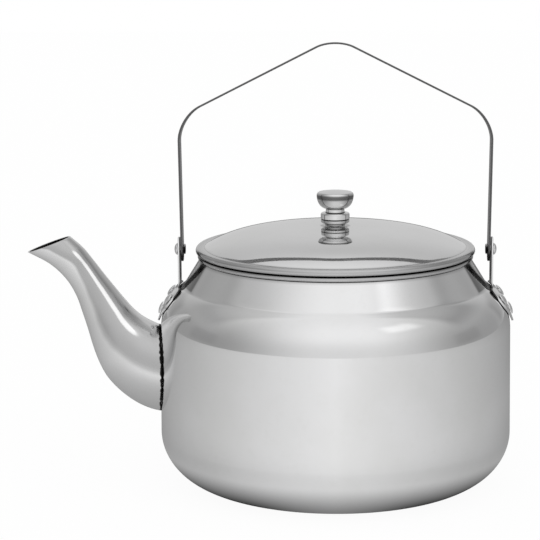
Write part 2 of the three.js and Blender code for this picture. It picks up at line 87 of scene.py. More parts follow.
class Pen:
    """Draws a line of edges in the XZ plane, as a profile to revolve or an outline to extrude."""

    def __init__(self, x: float, z: float) -> None:
        """Puts the pen down.

        Args:
            x: The first place along X.
            z: The first place along Z.
        """
        self.mesh = bmesh.new()
        self.start = self.tip = self.mesh.verts.new((x, 0.0, z))
        self.corners: list[tuple[bmesh.types.BMVert, float, int]] = []

    def line(self, x: float, z: float, steps: int = 1) -> "Pen":
        """Draws a straight run, cut into equal steps.

        Args:
            x: Where the run ends along X.
            z: Where the run ends along Z.
            steps: Number of edges.

        Returns:
            The pen itself.
        """
        begin, end = self.tip.co.copy(), Vector((x, 0.0, z))
        for step in range(1, steps + 1):
            self.tip = bmesh.ops.extrude_vert_indiv(self.mesh, verts=[self.tip])["verts"][0]
            self.tip.co = begin.lerp(end, step / steps)
        return self

    def through(self, places: Iterable[Place]) -> "Pen":
        """Draws a run through several places and returns the pen itself."""
        for x, z in places:
            self.line(x, z)
        return self

    def arc(self, centre: Place, radii: Place, start: float, end: float, steps: int) -> "Pen":
        """Draws an arc by spinning the tip. Angle 0 points to +X, and a quarter turn to +Z.

        Args:
            centre: Centre of the arc.
            radii: Its radius along X and along Z.
            start: Angle where it starts. A straight run joins it to the tip.
            end: Angle where it ends.
            steps: Number of edges.

        Returns:
            The pen itself.
        """
        (x, z), (wide, high) = centre, radii
        first = self.line(x + wide * math.cos(start), z + wide * math.sin(start)).tip
        before = set(self.mesh.verts)
        swept = bmesh.ops.spin(
            self.mesh, geom=[first], cent=(x, 0, z), axis=(0, -1, 0), angle=end - start, steps=steps
        )
        self.tip = next(made for made in swept["geom_last"] if isinstance(made, bmesh.types.BMVert))
        arc = [first, *(vertex for vertex in self.mesh.verts if vertex not in before)]
        middle = Matrix.Translation((-x, 0, -z))
        bmesh.ops.scale(self.mesh, vec=(1, 1, high / wide), space=middle, verts=arc)
        return self

    def rounded(self, reach: float, segments: int = 4) -> "Pen":
        """Marks the corner at the tip to be rounded over a reach along its sides, and returns the pen."""
        self.corners.append((self.tip, reach, segments))
        return self

    def closed(self) -> "Pen":
        """Joins the tip to the start and returns the pen itself."""
        self.mesh.edges.new((self.tip, self.start))
        return self

    def drawn(self) -> bmesh.types.BMesh:
        """Rounds the marked corners, welds the line and returns its mesh."""
        for corner, reach, segments in self.corners:
            bmesh.ops.bevel(
                self.mesh, geom=[corner], offset=reach, segments=segments, profile=0.5, affect="VERTICES",
                material=-1,
            )
        bmesh.ops.remove_doubles(self.mesh, verts=self.mesh.verts, dist=WELD)
        return self.mesh

    def revolved(self, steps: int) -> bmesh.types.BMesh:
        """Spins the line about Z into a closed skin and returns its mesh.

        Args:
            steps: Faces around the full turn.
        """
        mesh = self.drawn()
        line = mesh.verts[:] + mesh.edges[:]
        bmesh.ops.spin(
            mesh, geom=line, cent=(0, 0, 0), axis=(0, 0, 1), angle=FULL_TURN, steps=steps, use_merge=True
        )
        bmesh.ops.remove_doubles(mesh, verts=mesh.verts, dist=WELD)
        bmesh.ops.recalc_face_normals(mesh, faces=mesh.faces)
        return mesh

    def prism(self, low: float, high: float) -> bmesh.types.BMesh:
        """Fills the closed outline and extrudes it along Y, from low to high, and returns its mesh."""
        mesh = self.drawn()
        bmesh.ops.translate(mesh, vec=(0, low, 0), verts=mesh.verts)
        face = bmesh.ops.contextual_create(mesh, geom=mesh.edges[:])["faces"][0]
        swept = bmesh.ops.extrude_face_region(mesh, geom=[face])["geom"]
        moved = [made for made in swept if isinstance(made, bmesh.types.BMVert)]
        bmesh.ops.translate(mesh, vec=(0, high - low, 0), verts=moved)
        bmesh.ops.recalc_face_normals(mesh, faces=mesh.faces)
        return mesh


def shade(data: bpy.types.Mesh) -> None:
    """Smooths a mesh's faces and keeps its sharp edges crisp."""
    data.shade_smooth()
    data.set_sharp_from_angle(angle=SHARP)


def piece_of(mesh: bmesh.types.BMesh, name: str) -> bpy.types.Object:
    """Makes an object at the origin from a bmesh, which is freed.

    Args:
        mesh: The finished shape, in place.
        name: Name of the object.

    Returns:
        The new object.
    """
    data = bpy.data.meshes.new(name)
    mesh.to_mesh(data)
    mesh.free()
    shade(data)
    piece = bpy.data.objects.new(name, data)
    bpy.context.scene.collection.objects.link(piece)
    return piece


def joined(meshes: Sequence[bmesh.types.BMesh]) -> bmesh.types.BMesh:
    """Puts several meshes into one and frees them."""
    whole = bmesh.new()
    for mesh in meshes:
        part = bpy.data.meshes.new("part")
        mesh.to_mesh(part)
        mesh.free()
        whole.from_mesh(part)
        bpy.data.meshes.remove(part)
    return whole


class Cut(Enum):
    """What a cutting shape leaves of a piece."""

    AWAY = "DIFFERENCE"
    INSIDE = "INTERSECT"


def cut(piece: bpy.types.Object, shape: bmesh.types.BMesh, keep: Cut = Cut.AWAY) -> None:
    """Cuts a piece by a closed shape, which is used up.

    Args:
        piece: The piece, whose mesh is replaced.
        shape: The cutting shape, in place.
        keep: Which side of the shape stays.
    """
    tool = piece_of(shape, "cutter")
    modifier = piece.modifiers.new("cut", "BOOLEAN")
    modifier.operation = keep.value
    modifier.solver = "EXACT"
    modifier.object = tool
    graph = bpy.context.evaluated_depsgraph_get()
    made = bpy.data.meshes.new_from_object(piece.evaluated_get(graph))
    piece.modifiers.clear()
    old, piece.data = piece.data, made
    made.name = piece.name
    for data in (old, tool.data):
        bpy.data.meshes.remove(data)
    shade(piece.data)


def soften(piece: bpy.types.Object, width: float, segments: int = 2) -> None:
    """Gives a piece's crisp edges the small round that a deburred sheet has.

    Args:
        piece: The piece.
        width: Width of the round.
        segments: Faces across it.
    """
    modifier = piece.modifiers.new("edges", "BEVEL")
    modifier.width = width
    modifier.segments = segments
    modifier.limit_method = "ANGLE"
    modifier.angle_limit = SOFTENED
    modifier.use_clamp_overlap = True


def aimed(place: Vector, direction: Vector) -> Matrix:
    """Returns the matrix that turns local Z to a direction and moves the origin to a place."""
    return Matrix.Translation(place) @ Vector((0, 0, 1)).rotation_difference(direction).to_matrix().to_4x4()


def bar(seat: Matrix, radius: float, reach: float, sides: int = 32) -> bmesh.types.BMesh:
    """Makes a round bar about a seat's axis, which reaches as far each way.

    Args:
        seat: Matrix whose Z is the bar's axis.
        radius: Radius of the bar.
        reach: Half its length.
        sides: Faces around it.

    Returns:
        The bar's mesh.
    """
    mesh = bmesh.new()
    bmesh.ops.create_cone(
        mesh, cap_ends=True, segments=sides, radius1=radius, radius2=radius, depth=2 * reach, matrix=seat
    )
    return mesh


class Tree:
    """Adds nodes to a node tree and links them in one call."""

    def __init__(self, tree: bpy.types.NodeTree) -> None:
        """Takes a node tree and empties it."""
        tree.nodes.clear()
        self.tree = tree

    def add(self, kind: str, values: dict[str | int, Value] | None = None, **settings) -> bpy.types.Node:
        """Adds a node.

        Args:
            kind: Type of the node, without its ShaderNode prefix.
            values: Value of each named or numbered input: a plain value, or a socket to link.
            settings: The node's own settings.

        Returns:
            The new node.
        """
        node = self.tree.nodes.new("ShaderNode" + kind)
        for name, setting in settings.items():
            setattr(node, name, setting)
        for name, value in (values or {}).items():
            self.feed(node.inputs[name], value)
        return node

    def feed(self, entry: Socket, value: Value) -> None:
        """Links a socket to an input, or sets the input's plain value."""
        if isinstance(value, bpy.types.NodeSocket):
            self.tree.links.new(value, entry)
        else:
            entry.default_value = value

    def sum(self, operation: str, *values: Value) -> Socket:
        """Adds a Math node and returns its result."""
        return self.add("Math", dict(enumerate(values)), operation=operation).outputs[0]

    def split(self, vector: Socket) -> tuple[Socket, Socket, Socket]:
        """Returns the three parts of a vector."""
        return tuple(self.add("SeparateXYZ", {0: vector}).outputs)

    def scaled(self, vector: Socket, scale: Value) -> Socket:
        """Returns a vector times a number."""
        return self.add("VectorMath", {0: vector, "Scale": scale}, operation="SCALE").outputs[0]

    def hypotenuse(self, across: Socket, up: Socket) -> Socket:
        """Returns the distance from zero of a place given by two numbers."""
        square = self.sum("MULTIPLY_ADD", across, across, self.sum("MULTIPLY", up, up))
        return self.sum("SQRT", square)

    def noise(self, place: Socket, scale: float, detail: float, roughness: float = 0.5) -> Socket:
        """Returns soft noise about a place, from 0 to 1."""
        values = {"Vector": place, "Scale": scale, "Detail": detail, "Roughness": roughness}
        return self.add("TexNoise", values).outputs["Fac"]

    def fade(self, value: Value, low: float, high: float, start: Value = 0.0, end: Value = 1.0) -> Socket:
        """Maps a value smoothly from one range to another.

        Args:
            value: What is mapped.
            low: Value that gives start.
            high: Value that gives end.
            start: Result at and before low.
            end: Result at and after high.

        Returns:
            The mapped value's socket.
        """
        values = {"Value": value, "From Min": low, "From Max": high, "To Min": start, "To Max": end}
        return self.add("MapRange", values, interpolation_type="SMOOTHSTEP").outputs["Result"]

    def blend(self, share: Value, first: Value, second: Value) -> Socket:
        """Mixes two colours by a share of the second and returns the result."""
        node = self.add("Mix", data_type="RGBA")
        for index, value in ((0, share), (6, first), (7, second)):
            self.feed(node.inputs[index], value)
        return node.outputs[2]

    def group(self, effect: bpy.types.NodeTree, **values: Value) -> bpy.types.Node:
        """Places a node group with its own values and returns its node."""
        node = self.add("Group", node_tree=effect)
        for name, value in values.items():
            self.feed(node.inputs[name.replace("_", " ")], value)
        return node


def effect(
    name: str,
    takes: dict[str, str],
    gives: dict[str, str],
    wire: Callable[[Tree, dict[str, Socket]], dict[str, Socket]],
) -> bpy.types.NodeTree:
    """Builds a shader node group with named inputs and outputs.

    Args:
        name: Name of the group.
        takes: Kind of each named input, such as Float or Vector.
        gives: Kind of each named output.
        wire: Adds the nodes, given the inputs, and returns the socket for each output.

    Returns:
        The node group.
    """
    group = bpy.data.node_groups.new(name, "ShaderNodeTree")
    for label, kind in takes.items():
        group.interface.new_socket(label, in_out="INPUT", socket_type="NodeSocket" + kind)
    for label, kind in gives.items():
        group.interface.new_socket(label, in_out="OUTPUT", socket_type="NodeSocket" + kind)
    tree = Tree(group)
    entry = group.nodes.new("NodeGroupInput")
    leave = group.nodes.new("NodeGroupOutput")
    made = wire(tree, {socket.name: socket for socket in entry.outputs if socket.name})
    for label, socket in made.items():
        group.links.new(socket, leave.inputs[label])
    return group


@cache
def handling_film() -> bpy.types.NodeTree:
    """Builds the faint film that hands and cloths leave: soft patches, with fine specks in them."""
    patch_range, speck_range = (0.38, 0.7), (0.55, 0.75)
    speck_fineness, speck_share = 13.0, 0.25

    def wire(tree: Tree, entry: dict[str, Socket]) -> dict[str, Socket]:
        place = tree.scaled(entry["Place"], entry["Fineness"])
        patches = tree.fade(tree.noise(place, 1.0, 3.0), *patch_range)
        specks = tree.fade(tree.noise(place, speck_fineness, 2.0), *speck_range)
        patches = tree.sum("MULTIPLY", patches, 1.0 - speck_share)
        return {"Film": tree.sum("MULTIPLY_ADD", specks, speck_share, patches)}

    return effect("Handling film", {"Place": "Vector", "Fineness": "Float"}, {"Film": "Float"}, wire)


@cache
def sheet_waves() -> bpy.types.NodeTree:
    """Builds the slow waves of formed sheet metal, as a height in metres."""

    def wire(tree: Tree, entry: dict[str, Socket]) -> dict[str, Socket]:
        place = tree.scaled(entry["Place"], tree.sum("DIVIDE", 1.0, entry["Length"]))
        centred = tree.sum("SUBTRACT", tree.noise(place, 1.0, 1.0), 0.5)
        return {"Height": tree.sum("MULTIPLY", centred, entry["Depth"])}

    takes = {"Place": "Vector", "Length": "Float", "Depth": "Float"}
    return effect("Sheet waves", takes, {"Height": "Float"}, wire)


@cache
def tool_lines() -> bpy.types.NodeTree:
    """Builds the fine lines that a tool leaves, stretched along one axis of a place."""

    def wire(tree: Tree, entry: dict[str, Socket]) -> dict[str, Socket]:
        place = tree.scaled(entry["Place"], tree.sum("DIVIDE", 1.0, entry["Spacing"]))
        lines = tree.noise(place, 1.0, 3.0, 0.7)
        centred = tree.sum("SUBTRACT", lines, 0.5)
        return {"Height": tree.sum("MULTIPLY", centred, entry["Depth"]), "Mask": lines}

    takes = {"Place": "Vector", "Spacing": "Float", "Depth": "Float"}
    return effect("Tool lines", takes, {"Height": "Float", "Mask": "Float"}, wire)


@cache
def hair_scratches() -> bpy.types.NodeTree:
    """Builds hair scratches in two directions, as a mask of thin bright lines."""
    turns = ((0.5, 0.9, 0.3), (1.9, 0.4, 1.3))
    fineness = ((900.0, 900.0, 26.0), (700.0, 24.0, 700.0))
    scratch_range = (0.74, 0.8)

    def wire(tree: Tree, entry: dict[str, Socket]) -> dict[str, Socket]:
        masks = []
        for turn, stretch in zip(turns, fineness):
            place = tree.add("Mapping", {"Vector": entry["Place"], "Rotation": turn, "Scale": stretch})
            masks.append(tree.fade(tree.noise(place.outputs[0], 1.0, 0.0), *scratch_range))
        return {"Mask": tree.sum("MAXIMUM", *masks)}

    return effect("Hair scratches", {"Place": "Vector"}, {"Mask": "Float"}, wire)


@cache
def ring_place() -> bpy.types.NodeTree:
    """Builds a place made of the distance from the kettle's axis and the height, for turned work."""

    def wire(tree: Tree, entry: dict[str, Socket]) -> dict[str, Socket]:
        x, y, z = tree.split(entry["Place"])
        radius = tree.hypotenuse(x, y)
        ring = tree.add("CombineXYZ", {"X": radius, "Y": z})
        return {"Ring": ring.outputs[0], "Radius": radius, "Height": z}

    gives = {"Ring": "Vector", "Radius": "Float", "Height": "Float"}
    return effect("Ring place", {"Place": "Vector"}, gives, wire)


@cache
def ring_shade() -> bpy.types.NodeTree:
    """Builds the dark band of painted shade in a crease or on an edge that runs round the axis."""
    core = 0.35  # share of the band that is fully dark

    def wire(tree: Tree, entry: dict[str, Socket]) -> dict[str, Socket]:
        out = tree.sum("SUBTRACT", entry["Radius"], entry["At radius"])
        up = tree.sum("SUBTRACT", entry["Height"], entry["At height"])
        share = tree.sum("DIVIDE", tree.hypotenuse(out, up), entry["Reach"])
        return {"PaintedShade": tree.sum("MULTIPLY", tree.fade(share, core, 1.0, 1.0, 0.0), entry["Darkness"])}

    takes = dict.fromkeys(("Radius", "Height", "At radius", "At height", "Reach", "Darkness"), "Float")
    return effect("Ring shade", takes, {"PaintedShade": "Float"}, wire)


@dataclass
class Surface:
    """A steel surface in the making: the places on it, and its colour and roughness so far."""

    tree: Tree
    place: Socket
    ring: bpy.types.Node
    film: Socket
    colour: Value
    roughness: Value

    def facing(self) -> Socket:
        """Returns the way that the surface faces."""
        return self.tree.add("TexCoord").outputs["Normal"]

    def cover(self, mask: Value, darkness: float, roughness: float, colour: Colour = PAINTED_SHADE_COLOUR) -> None:
        """Lays painted shade, and the roughness that goes with it, over part of the surface.

        Args:
            mask: Where it lies, from 0 to 1.
            darkness: How much of the steel it hides where the mask is 1.
            roughness: Roughness that it adds there.
            colour: The colour of the painted shade.
        """
        hidden = self.tree.sum("MULTIPLY", mask, darkness)
        self.colour = self.tree.blend(hidden, self.colour, colour)
        self.roughness = self.tree.sum("MULTIPLY_ADD", mask, roughness, self.roughness)


@dataclass(frozen=True)
class Ring:
    """A crease or an edge round the kettle's axis where shade is painted."""

    radius: float
    height: float
    reach: float
    darkness: float = 1.0

    def mask(self, surface: Surface) -> Socket:
        """Returns where it lies on a surface."""
        band = surface.tree.group(
            ring_shade(), Radius=surface.ring.outputs["Radius"], Height=surface.ring.outputs["Height"],
            At_radius=self.radius, At_height=self.height, Reach=self.reach, Darkness=self.darkness,
        )
        return band.outputs["PaintedShade"]


@dataclass(frozen=True)
class Seam:
    """The seam round the spout's root: a dark, uneven joint, with painted shadow in its gap."""

    wall_radius: float
    height: float  # of its middle
    half_width: float
    half_height: float
    reach: float
    joins_wall: bool  # whether this is the wall's side of the seam, or the spout's
    blotch_fineness: float = 420.0
    blotch_range: tuple[float, float] = (0.3, 0.7)
    least_reach: float = 0.6  # shares of its reach between the blotches and in them
    most_reach: float = 1.3
    core: float = 0.55  # share of it that is fully dark

    def mask(self, surface: Surface) -> Socket:
        """Returns where it lies on a surface."""
        tree = surface.tree
        if self.joins_wall:
            x, y, z = tree.split(surface.place)
            across = tree.sum("DIVIDE", y, self.half_width)
            up = tree.sum("DIVIDE", tree.sum("SUBTRACT", z, self.height), self.half_height)
            oval = tree.sum("SUBTRACT", tree.hypotenuse(across, up), 1.0)
            away = tree.sum("MULTIPLY", oval, self.half_width)
            side = tree.fade(x, -self.wall_radius / 2, 0.0, 1.0, 0.0)
        else:
            away = tree.sum("SUBTRACT", surface.ring.outputs["Radius"], self.wall_radius)
            side = 1.0
        blotches = tree.noise(surface.place, self.blotch_fineness, 3.0)
        uneven = tree.fade(blotches, *self.blotch_range, self.least_reach, self.most_reach)
        reach = tree.sum("MULTIPLY", uneven, self.reach)
        share = tree.sum("DIVIDE", tree.sum("ABSOLUTE", away), reach)
        return tree.sum("MULTIPLY", tree.fade(share, self.core, 1.0, 1.0, 0.0), side)


class Layer:
    """Painted shade and dullness laid on part of a surface."""

    def lay(self, surface: Surface) -> None:
        """Lays it on a surface."""
        raise NotImplementedError


@dataclass(frozen=True)
class PaintedShade(Layer):
    """Painted shade in creases, on edges and in the seam, whose band is also the dark joint itself."""

    places: tuple[Ring | Seam, ...]
    roughness: float = 0.3

    def lay(self, surface: Surface) -> None:
        """Lays the painted shade of all its places, where the darkest counts."""
        mask: Value = 0.0
        for place in self.places:
            mask = surface.tree.sum("MAXIMUM", mask, place.mask(surface))
        surface.cover(mask, 1.0, self.roughness)


@dataclass(frozen=True)
class DullAndShadedInward(Layer):
    """Faces that look towards a place inside the kettle, dulled and painted dark as shade by a set
    darkness.
    """

    centre: tuple[float, float, float]
    reach: float  # how far from its centre it ends
    # how dark its painted shade is: 0 leaves the faces only dulled
    darkness: float
    roughness: float = 0.25
    first: float = 0.5 * MM  # how far in front of a face's plane the centre lies where it begins
    full: float = 1.5 * MM
    end_share: float = 0.9  # share of its reach where it begins to end

    def lay(self, surface: Surface) -> None:
        """Dulls the faces that look towards the centre and paints shade on them."""
        tree = surface.tree
        away = tree.add("VectorMath", {0: surface.place, 1: self.centre}, operation="SUBTRACT").outputs[0]
        facing = tree.add("VectorMath", {0: away, 1: surface.facing()}, operation="DOT_PRODUCT")
        turned = tree.fade(facing.outputs["Value"], -self.full, -self.first, 1.0, 0.0)
        distance = tree.add("VectorMath", {0: away}, operation="LENGTH").outputs["Value"]
        near = tree.fade(distance, self.end_share * self.reach, self.reach, 1.0, 0.0)
        surface.cover(tree.sum("MULTIPLY", turned, near), self.darkness, self.roughness)


@dataclass(frozen=True)
class Stain(Layer):
    """A painted dark wedge on the cone behind each ear, between two heights, for the shadow and dark
    reflection there.
    """

    low: float
    high: float
    darkness: float = 0.72
    roughness: float = 0.0576  # that it adds where it is full
    spread: tuple[float, float] = (0.38, 0.425)  # Y as a share of X where it begins and ends to fade
    unevenness: float = 0.03  # how much the film shifts its sides
    low_fade: float = 1 * MM
    high_fade: float = 2 * MM

    def lay(self, surface: Surface) -> None:
        """Paints the wedge on both sides of the kettle."""
        tree = surface.tree
        x, y, z = tree.split(surface.place)
        aside = tree.sum("ABSOLUTE", tree.sum("DIVIDE", y, x))
        uneven = tree.sum("MULTIPLY_ADD", surface.film, self.unevenness, aside)
        around = tree.fade(uneven, *self.spread, 1.0, 0.0)
        above = tree.fade(z, self.low, self.low + self.low_fade)
        below = tree.fade(z, self.high, self.high + self.high_fade, 1.0, 0.0)
        mask = tree.sum("MULTIPLY", around, tree.sum("MULTIPLY", above, below))
        surface.cover(mask, self.darkness, self.roughness)


@dataclass(frozen=True)
class PaintedFlankShade(Layer):
    """Painted shade on the upper flanks of the spout, chosen by the way they face."""

    darkness: float
    sideways: tuple[float, float] = (0.3, 0.75)  # how far a face turns to Y where they begin and are full
    upwards: tuple[float, float] = (-0.03, 0.09)  # the same for Z

    def lay(self, surface: Surface) -> None:
        """Darkens the faces that look sideways and not down."""
        tree = surface.tree
        _, y, z = tree.split(surface.facing())
        across = tree.fade(tree.sum("ABSOLUTE", y), *self.sideways)
        surface.cover(tree.sum("MULTIPLY", across, tree.fade(z, *self.upwards)), self.darkness, 0.0)


@dataclass(frozen=True)
class RoughShadedEdges(Layer):
    """The cut edges of a strip that lies along Y with its width, roughened and painted dark as shade."""

    darkness: float
    roughness: float = 0.25
    sideways: tuple[float, float] = (0.45, 0.85)  # how far a face turns to Y where they begin and are full

    def lay(self, surface: Surface) -> None:
        """Paints shade on the edges and roughens them."""
        tree = surface.tree
        edge = tree.fade(tree.sum("ABSOLUTE", tree.split(surface.facing())[1]), *self.sideways)
        surface.cover(edge, self.darkness, self.roughness, EDGE_SHADE)


class Working(Enum):
    """How the steel was worked last, which sets the run of its finest lines."""

    SPUN = "rings about the kettle's axis"
    DRAWN = "along the strip"
    PLAIN = "no direction"


@dataclass(frozen=True)
class SteelFinish:
    """One finish of stainless steel and the material slot that it belongs to."""

    name: str
    slot: str
    working: Working
    tone: float = 0.78  # how much light the clean metal gives back
    roughness: float = 0.06
    film: float = 0.03  # roughness that the handling film adds
    film_fineness: float = 22.0
    wave_length: float = 45 * MM
    wave_depth: float = 0.05 * MM
    line_spacing: float = 1.6 * MM
    line_depth: float = 0.0006 * MM
    scratch: float = 0.04  # roughness that a hair scratch adds
    layers: tuple[Layer, ...] = ()

    @cache
    def material(self) -> bpy.types.Material:
        """Builds the finish's material, once."""
        material = bpy.data.materials.new(self.name)
        material.use_nodes = True
        tree = Tree(material.node_tree)
        place = tree.add("TexCoord").outputs["Object"]
        ring = tree.group(ring_place(), Place=place)
        film = tree.group(handling_film(), Place=place, Fineness=self.film_fineness).outputs["Film"]
        scratches = tree.group(hair_scratches(), Place=place).outputs["Mask"]
        waves = tree.group(sheet_waves(), Place=place, Length=self.wave_length, Depth=self.wave_depth)
        lines = tree.group(
            tool_lines(), Place=self.line_place(tree, place, ring), Spacing=self.line_spacing,
            Depth=self.line_depth,
        )
        dulled = tree.sum("MULTIPLY_ADD", film, self.film, self.roughness)
        dulled = tree.sum("MULTIPLY_ADD", scratches, self.scratch, dulled)
        dulled = tree.sum("MULTIPLY_ADD", lines.outputs["Mask"], self.scratch / 2, dulled)
        clean = tuple(self.tone * share for share in CLEAN_TINT)
        worn = tuple(self.tone * share for share in WORN_TINT)
        steel = tree.blend(film, (*clean, 1.0), (*worn, 1.0))
        surface = Surface(tree, place, ring, film, steel, dulled)
        # the layers paint shade on the steel and dull it in places
        for layer in self.layers:
            layer.lay(surface)
        height = tree.sum("ADD", waves.outputs["Height"], lines.outputs["Height"])
        bump = tree.add("Bump", {"Height": height, "Distance": 1.0, "Strength": 1.0})
        values = {
            "Base Color": surface.colour, "Metallic": 1.0, "Roughness": surface.roughness,
            "Normal": bump.outputs["Normal"],
        }
        shader = tree.add("BsdfPrincipled", values)
        tree.add("OutputMaterial", {"Surface": shader.outputs["BSDF"]})
        return material

    def line_place(self, tree: Tree, place: Socket, ring: bpy.types.Node) -> Socket:
        """Returns the place that the tool's lines follow."""
        if self.working is Working.SPUN:
            return ring.outputs["Ring"]
        if self.working is Working.DRAWN:
            return tree.add("VectorMath", {0: place, 1: ALONG_STRIP}, operation="MULTIPLY").outputs[0]
        return place


def dress(
    piece: bpy.types.Object, finish: SteelFinish, body: str, nodes: Sequence[str]
) -> bpy.types.Object:
    """Gives a piece its finish, its body and the solids that it stands for.

    Args:
        piece: The finished piece.
        finish: Its steel.
        body: Name of the moving body that it rides on.
        nodes: Names of the solids that it replaces.

    Returns:
        The piece.
    """
    piece.data.materials.clear()
    piece.data.materials.append(finish.material())
    for node in nodes:
        solid = bpy.data.objects[node]
        solid.data.materials.clear()
        solid.data.materials.append(finish.material())
    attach(piece, body)
    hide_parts(*nodes)
    log.info("%s: %d faces, for %s", piece.name, len(piece.data.polygons), ", ".join(nodes))
    return piece


@dataclass
class Body:
    """The spun body: base, wide corner, wall, shoulder, crease, cone and curled bead."""

    base_radius: float = 69.6 * MM
    corner_width: float = 38.4 * MM
    corner_height: float = 33.5 * MM
    wall_taper: float = 0.6 * MM
    wall_height: float = 64.5 * MM
    shoulder_radius: float = 30.9 * MM
    shoulder_turn: float = math.radians(57.5)
    cone_height: float = 16.5 * MM
    cone_inset: float = 10.3 * MM
    bead_radius: float = 1.5 * MM
    crease_reach: float = 0.85 * MM  # how far the crease's round runs each way
    hole_radius: float = 1.8 * MM
    hole_pitch: float = 7 * MM
    hole_rows: int = 5
    most_in_row: int = 5
    steps: int = 256

    def __post_init__(self) -> None:
        """Works out the places that follow from the sizes."""
        self.wall_radius = self.base_radius + self.corner_width
        self.wall_top = self.corner_height + self.wall_height
        self.top_radius = self.wall_radius - self.wall_taper
        self.shoulder_centre = self.top_radius - self.shoulder_radius
        self.cone_base = self.wall_top + self.shoulder_radius * math.sin(self.shoulder_turn)
        self.crease_radius = self.shoulder_centre + self.shoulder_radius * math.cos(self.shoulder_turn)
        self.neck_radius = self.crease_radius - self.cone_inset
        self.neck_top = self.cone_base + self.cone_height
        self.bead_height = self.neck_top + self.bead_radius
        self.mouth_radius = self.neck_radius - self.bead_radius

    def outline(self, out: float = 0.0) -> Pen:
        """Draws the outside from the base's middle up to the bead's foot, let out by a distance."""
        corner = (self.base_radius, self.corner_height)
        corner_radii = (self.corner_width + out, self.corner_height + out)
        shoulder = (self.shoulder_centre, self.wall_top)
        shoulder_radii = (self.shoulder_radius + out, self.shoulder_radius + out)
        pen = Pen(0, -out).line(self.base_radius, -out, 8)
        pen.arc(corner, corner_radii, -QUARTER, 0, 40).line(self.top_radius + out, self.wall_top, 14)
        pen.arc(shoulder, shoulder_radii, 0, self.shoulder_turn, 28).rounded(self.crease_reach)
        return pen.line(self.neck_radius + out, self.neck_top, 6)

    def shell(self) -> bmesh.types.BMesh:
        """Revolves the outside, the bead and the inside into the body's sheet."""
        corner_radii = (self.corner_width - SHEET, self.corner_height - SHEET)
        shoulder_radii = (self.shoulder_radius - SHEET, self.shoulder_radius - SHEET)
        bead = (self.neck_radius, self.bead_height)
        pen = self.outline()
        pen.arc(bead, (self.bead_radius, self.bead_radius), -QUARTER, math.pi, 24)
        pen.line(self.mouth_radius, self.neck_top)
        pen.arc((self.shoulder_centre, self.wall_top), shoulder_radii, self.shoulder_turn, 0, 16)
        pen.line(self.wall_radius - SHEET, self.corner_height, 6)
        pen.arc((self.base_radius, self.corner_height), corner_radii, 0, -QUARTER, 24)
        return pen.line(0, SHEET, 4).revolved(self.steps)

    def strainer(self, middle: float) -> list[bmesh.types.BMesh]:
        """Makes the cutters of the strainer holes behind the spout, round a middle height."""
        row_step = self.hole_pitch * math.cos(math.radians(30))  # so that each hole has six neighbours
        cutters = []
        for row in range(self.hole_rows):
            from_middle = row - (self.hole_rows - 1) / 2
            in_row = self.most_in_row - int(abs(from_middle))
            for place in range(in_row):
                round_turn = math.asin((place - (in_row - 1) / 2) * self.hole_pitch / self.wall_radius)
                out = Vector((-math.cos(round_turn), math.sin(round_turn), 0))
                seat = aimed(out * self.wall_radius + Vector((0, 0, middle + from_middle * row_step)), out)
                cutters.append(bar(seat, self.hole_radius, OVERRUN, 24))
        return cutters

    def build(self, finish: SteelFinish, cutters: Sequence[bmesh.types.BMesh]) -> None:
        """Makes the body with its strainer and rivet holes.

        Args:
            finish: Its steel.
            cutters: The shapes of the holes.
        """
        piece = piece_of(self.shell(), "kettle_body_shell")
        cut(piece, joined(cutters))
        dress(piece, finish, "root", ["kettle_body"])


def along(places: Sequence[Vector], share: float, ease: float = 0.5) -> Vector:
    """Finds a point of the smooth curve through several places.

    Args:
        places: The places, in order.
        share: How far along, where each stretch between two places counts alike.
        ease: How much a stretch's length counts in the curve's pace, from 0, not at all, to 1.

    Returns:
        The point.
    """
    stretches = len(places) - 1
    first = min(int(share * stretches), stretches - 1)
    before = places[first - 1] if first else 2 * places[0] - places[1]
    after = places[first + 2] if first + 2 <= stretches else 2 * places[-1] - places[-2]
    run = [before, places[first], places[first + 1], after]
    times = [0.0]
    for start, end in zip(run, run[1:]):
        times.append(times[-1] + (end - start).length ** ease)
    time = times[1] + (share * stretches - first) * (times[2] - times[1])
    for reach in (1, 2):
        run = [
            start.lerp(end, (time - times[i]) / (times[i + reach] - times[i]))
            for i, (start, end) in enumerate(zip(run, run[1:]))
        ]
    return run[0].lerp(run[1], (time - times[1]) / (times[2] - times[1]))


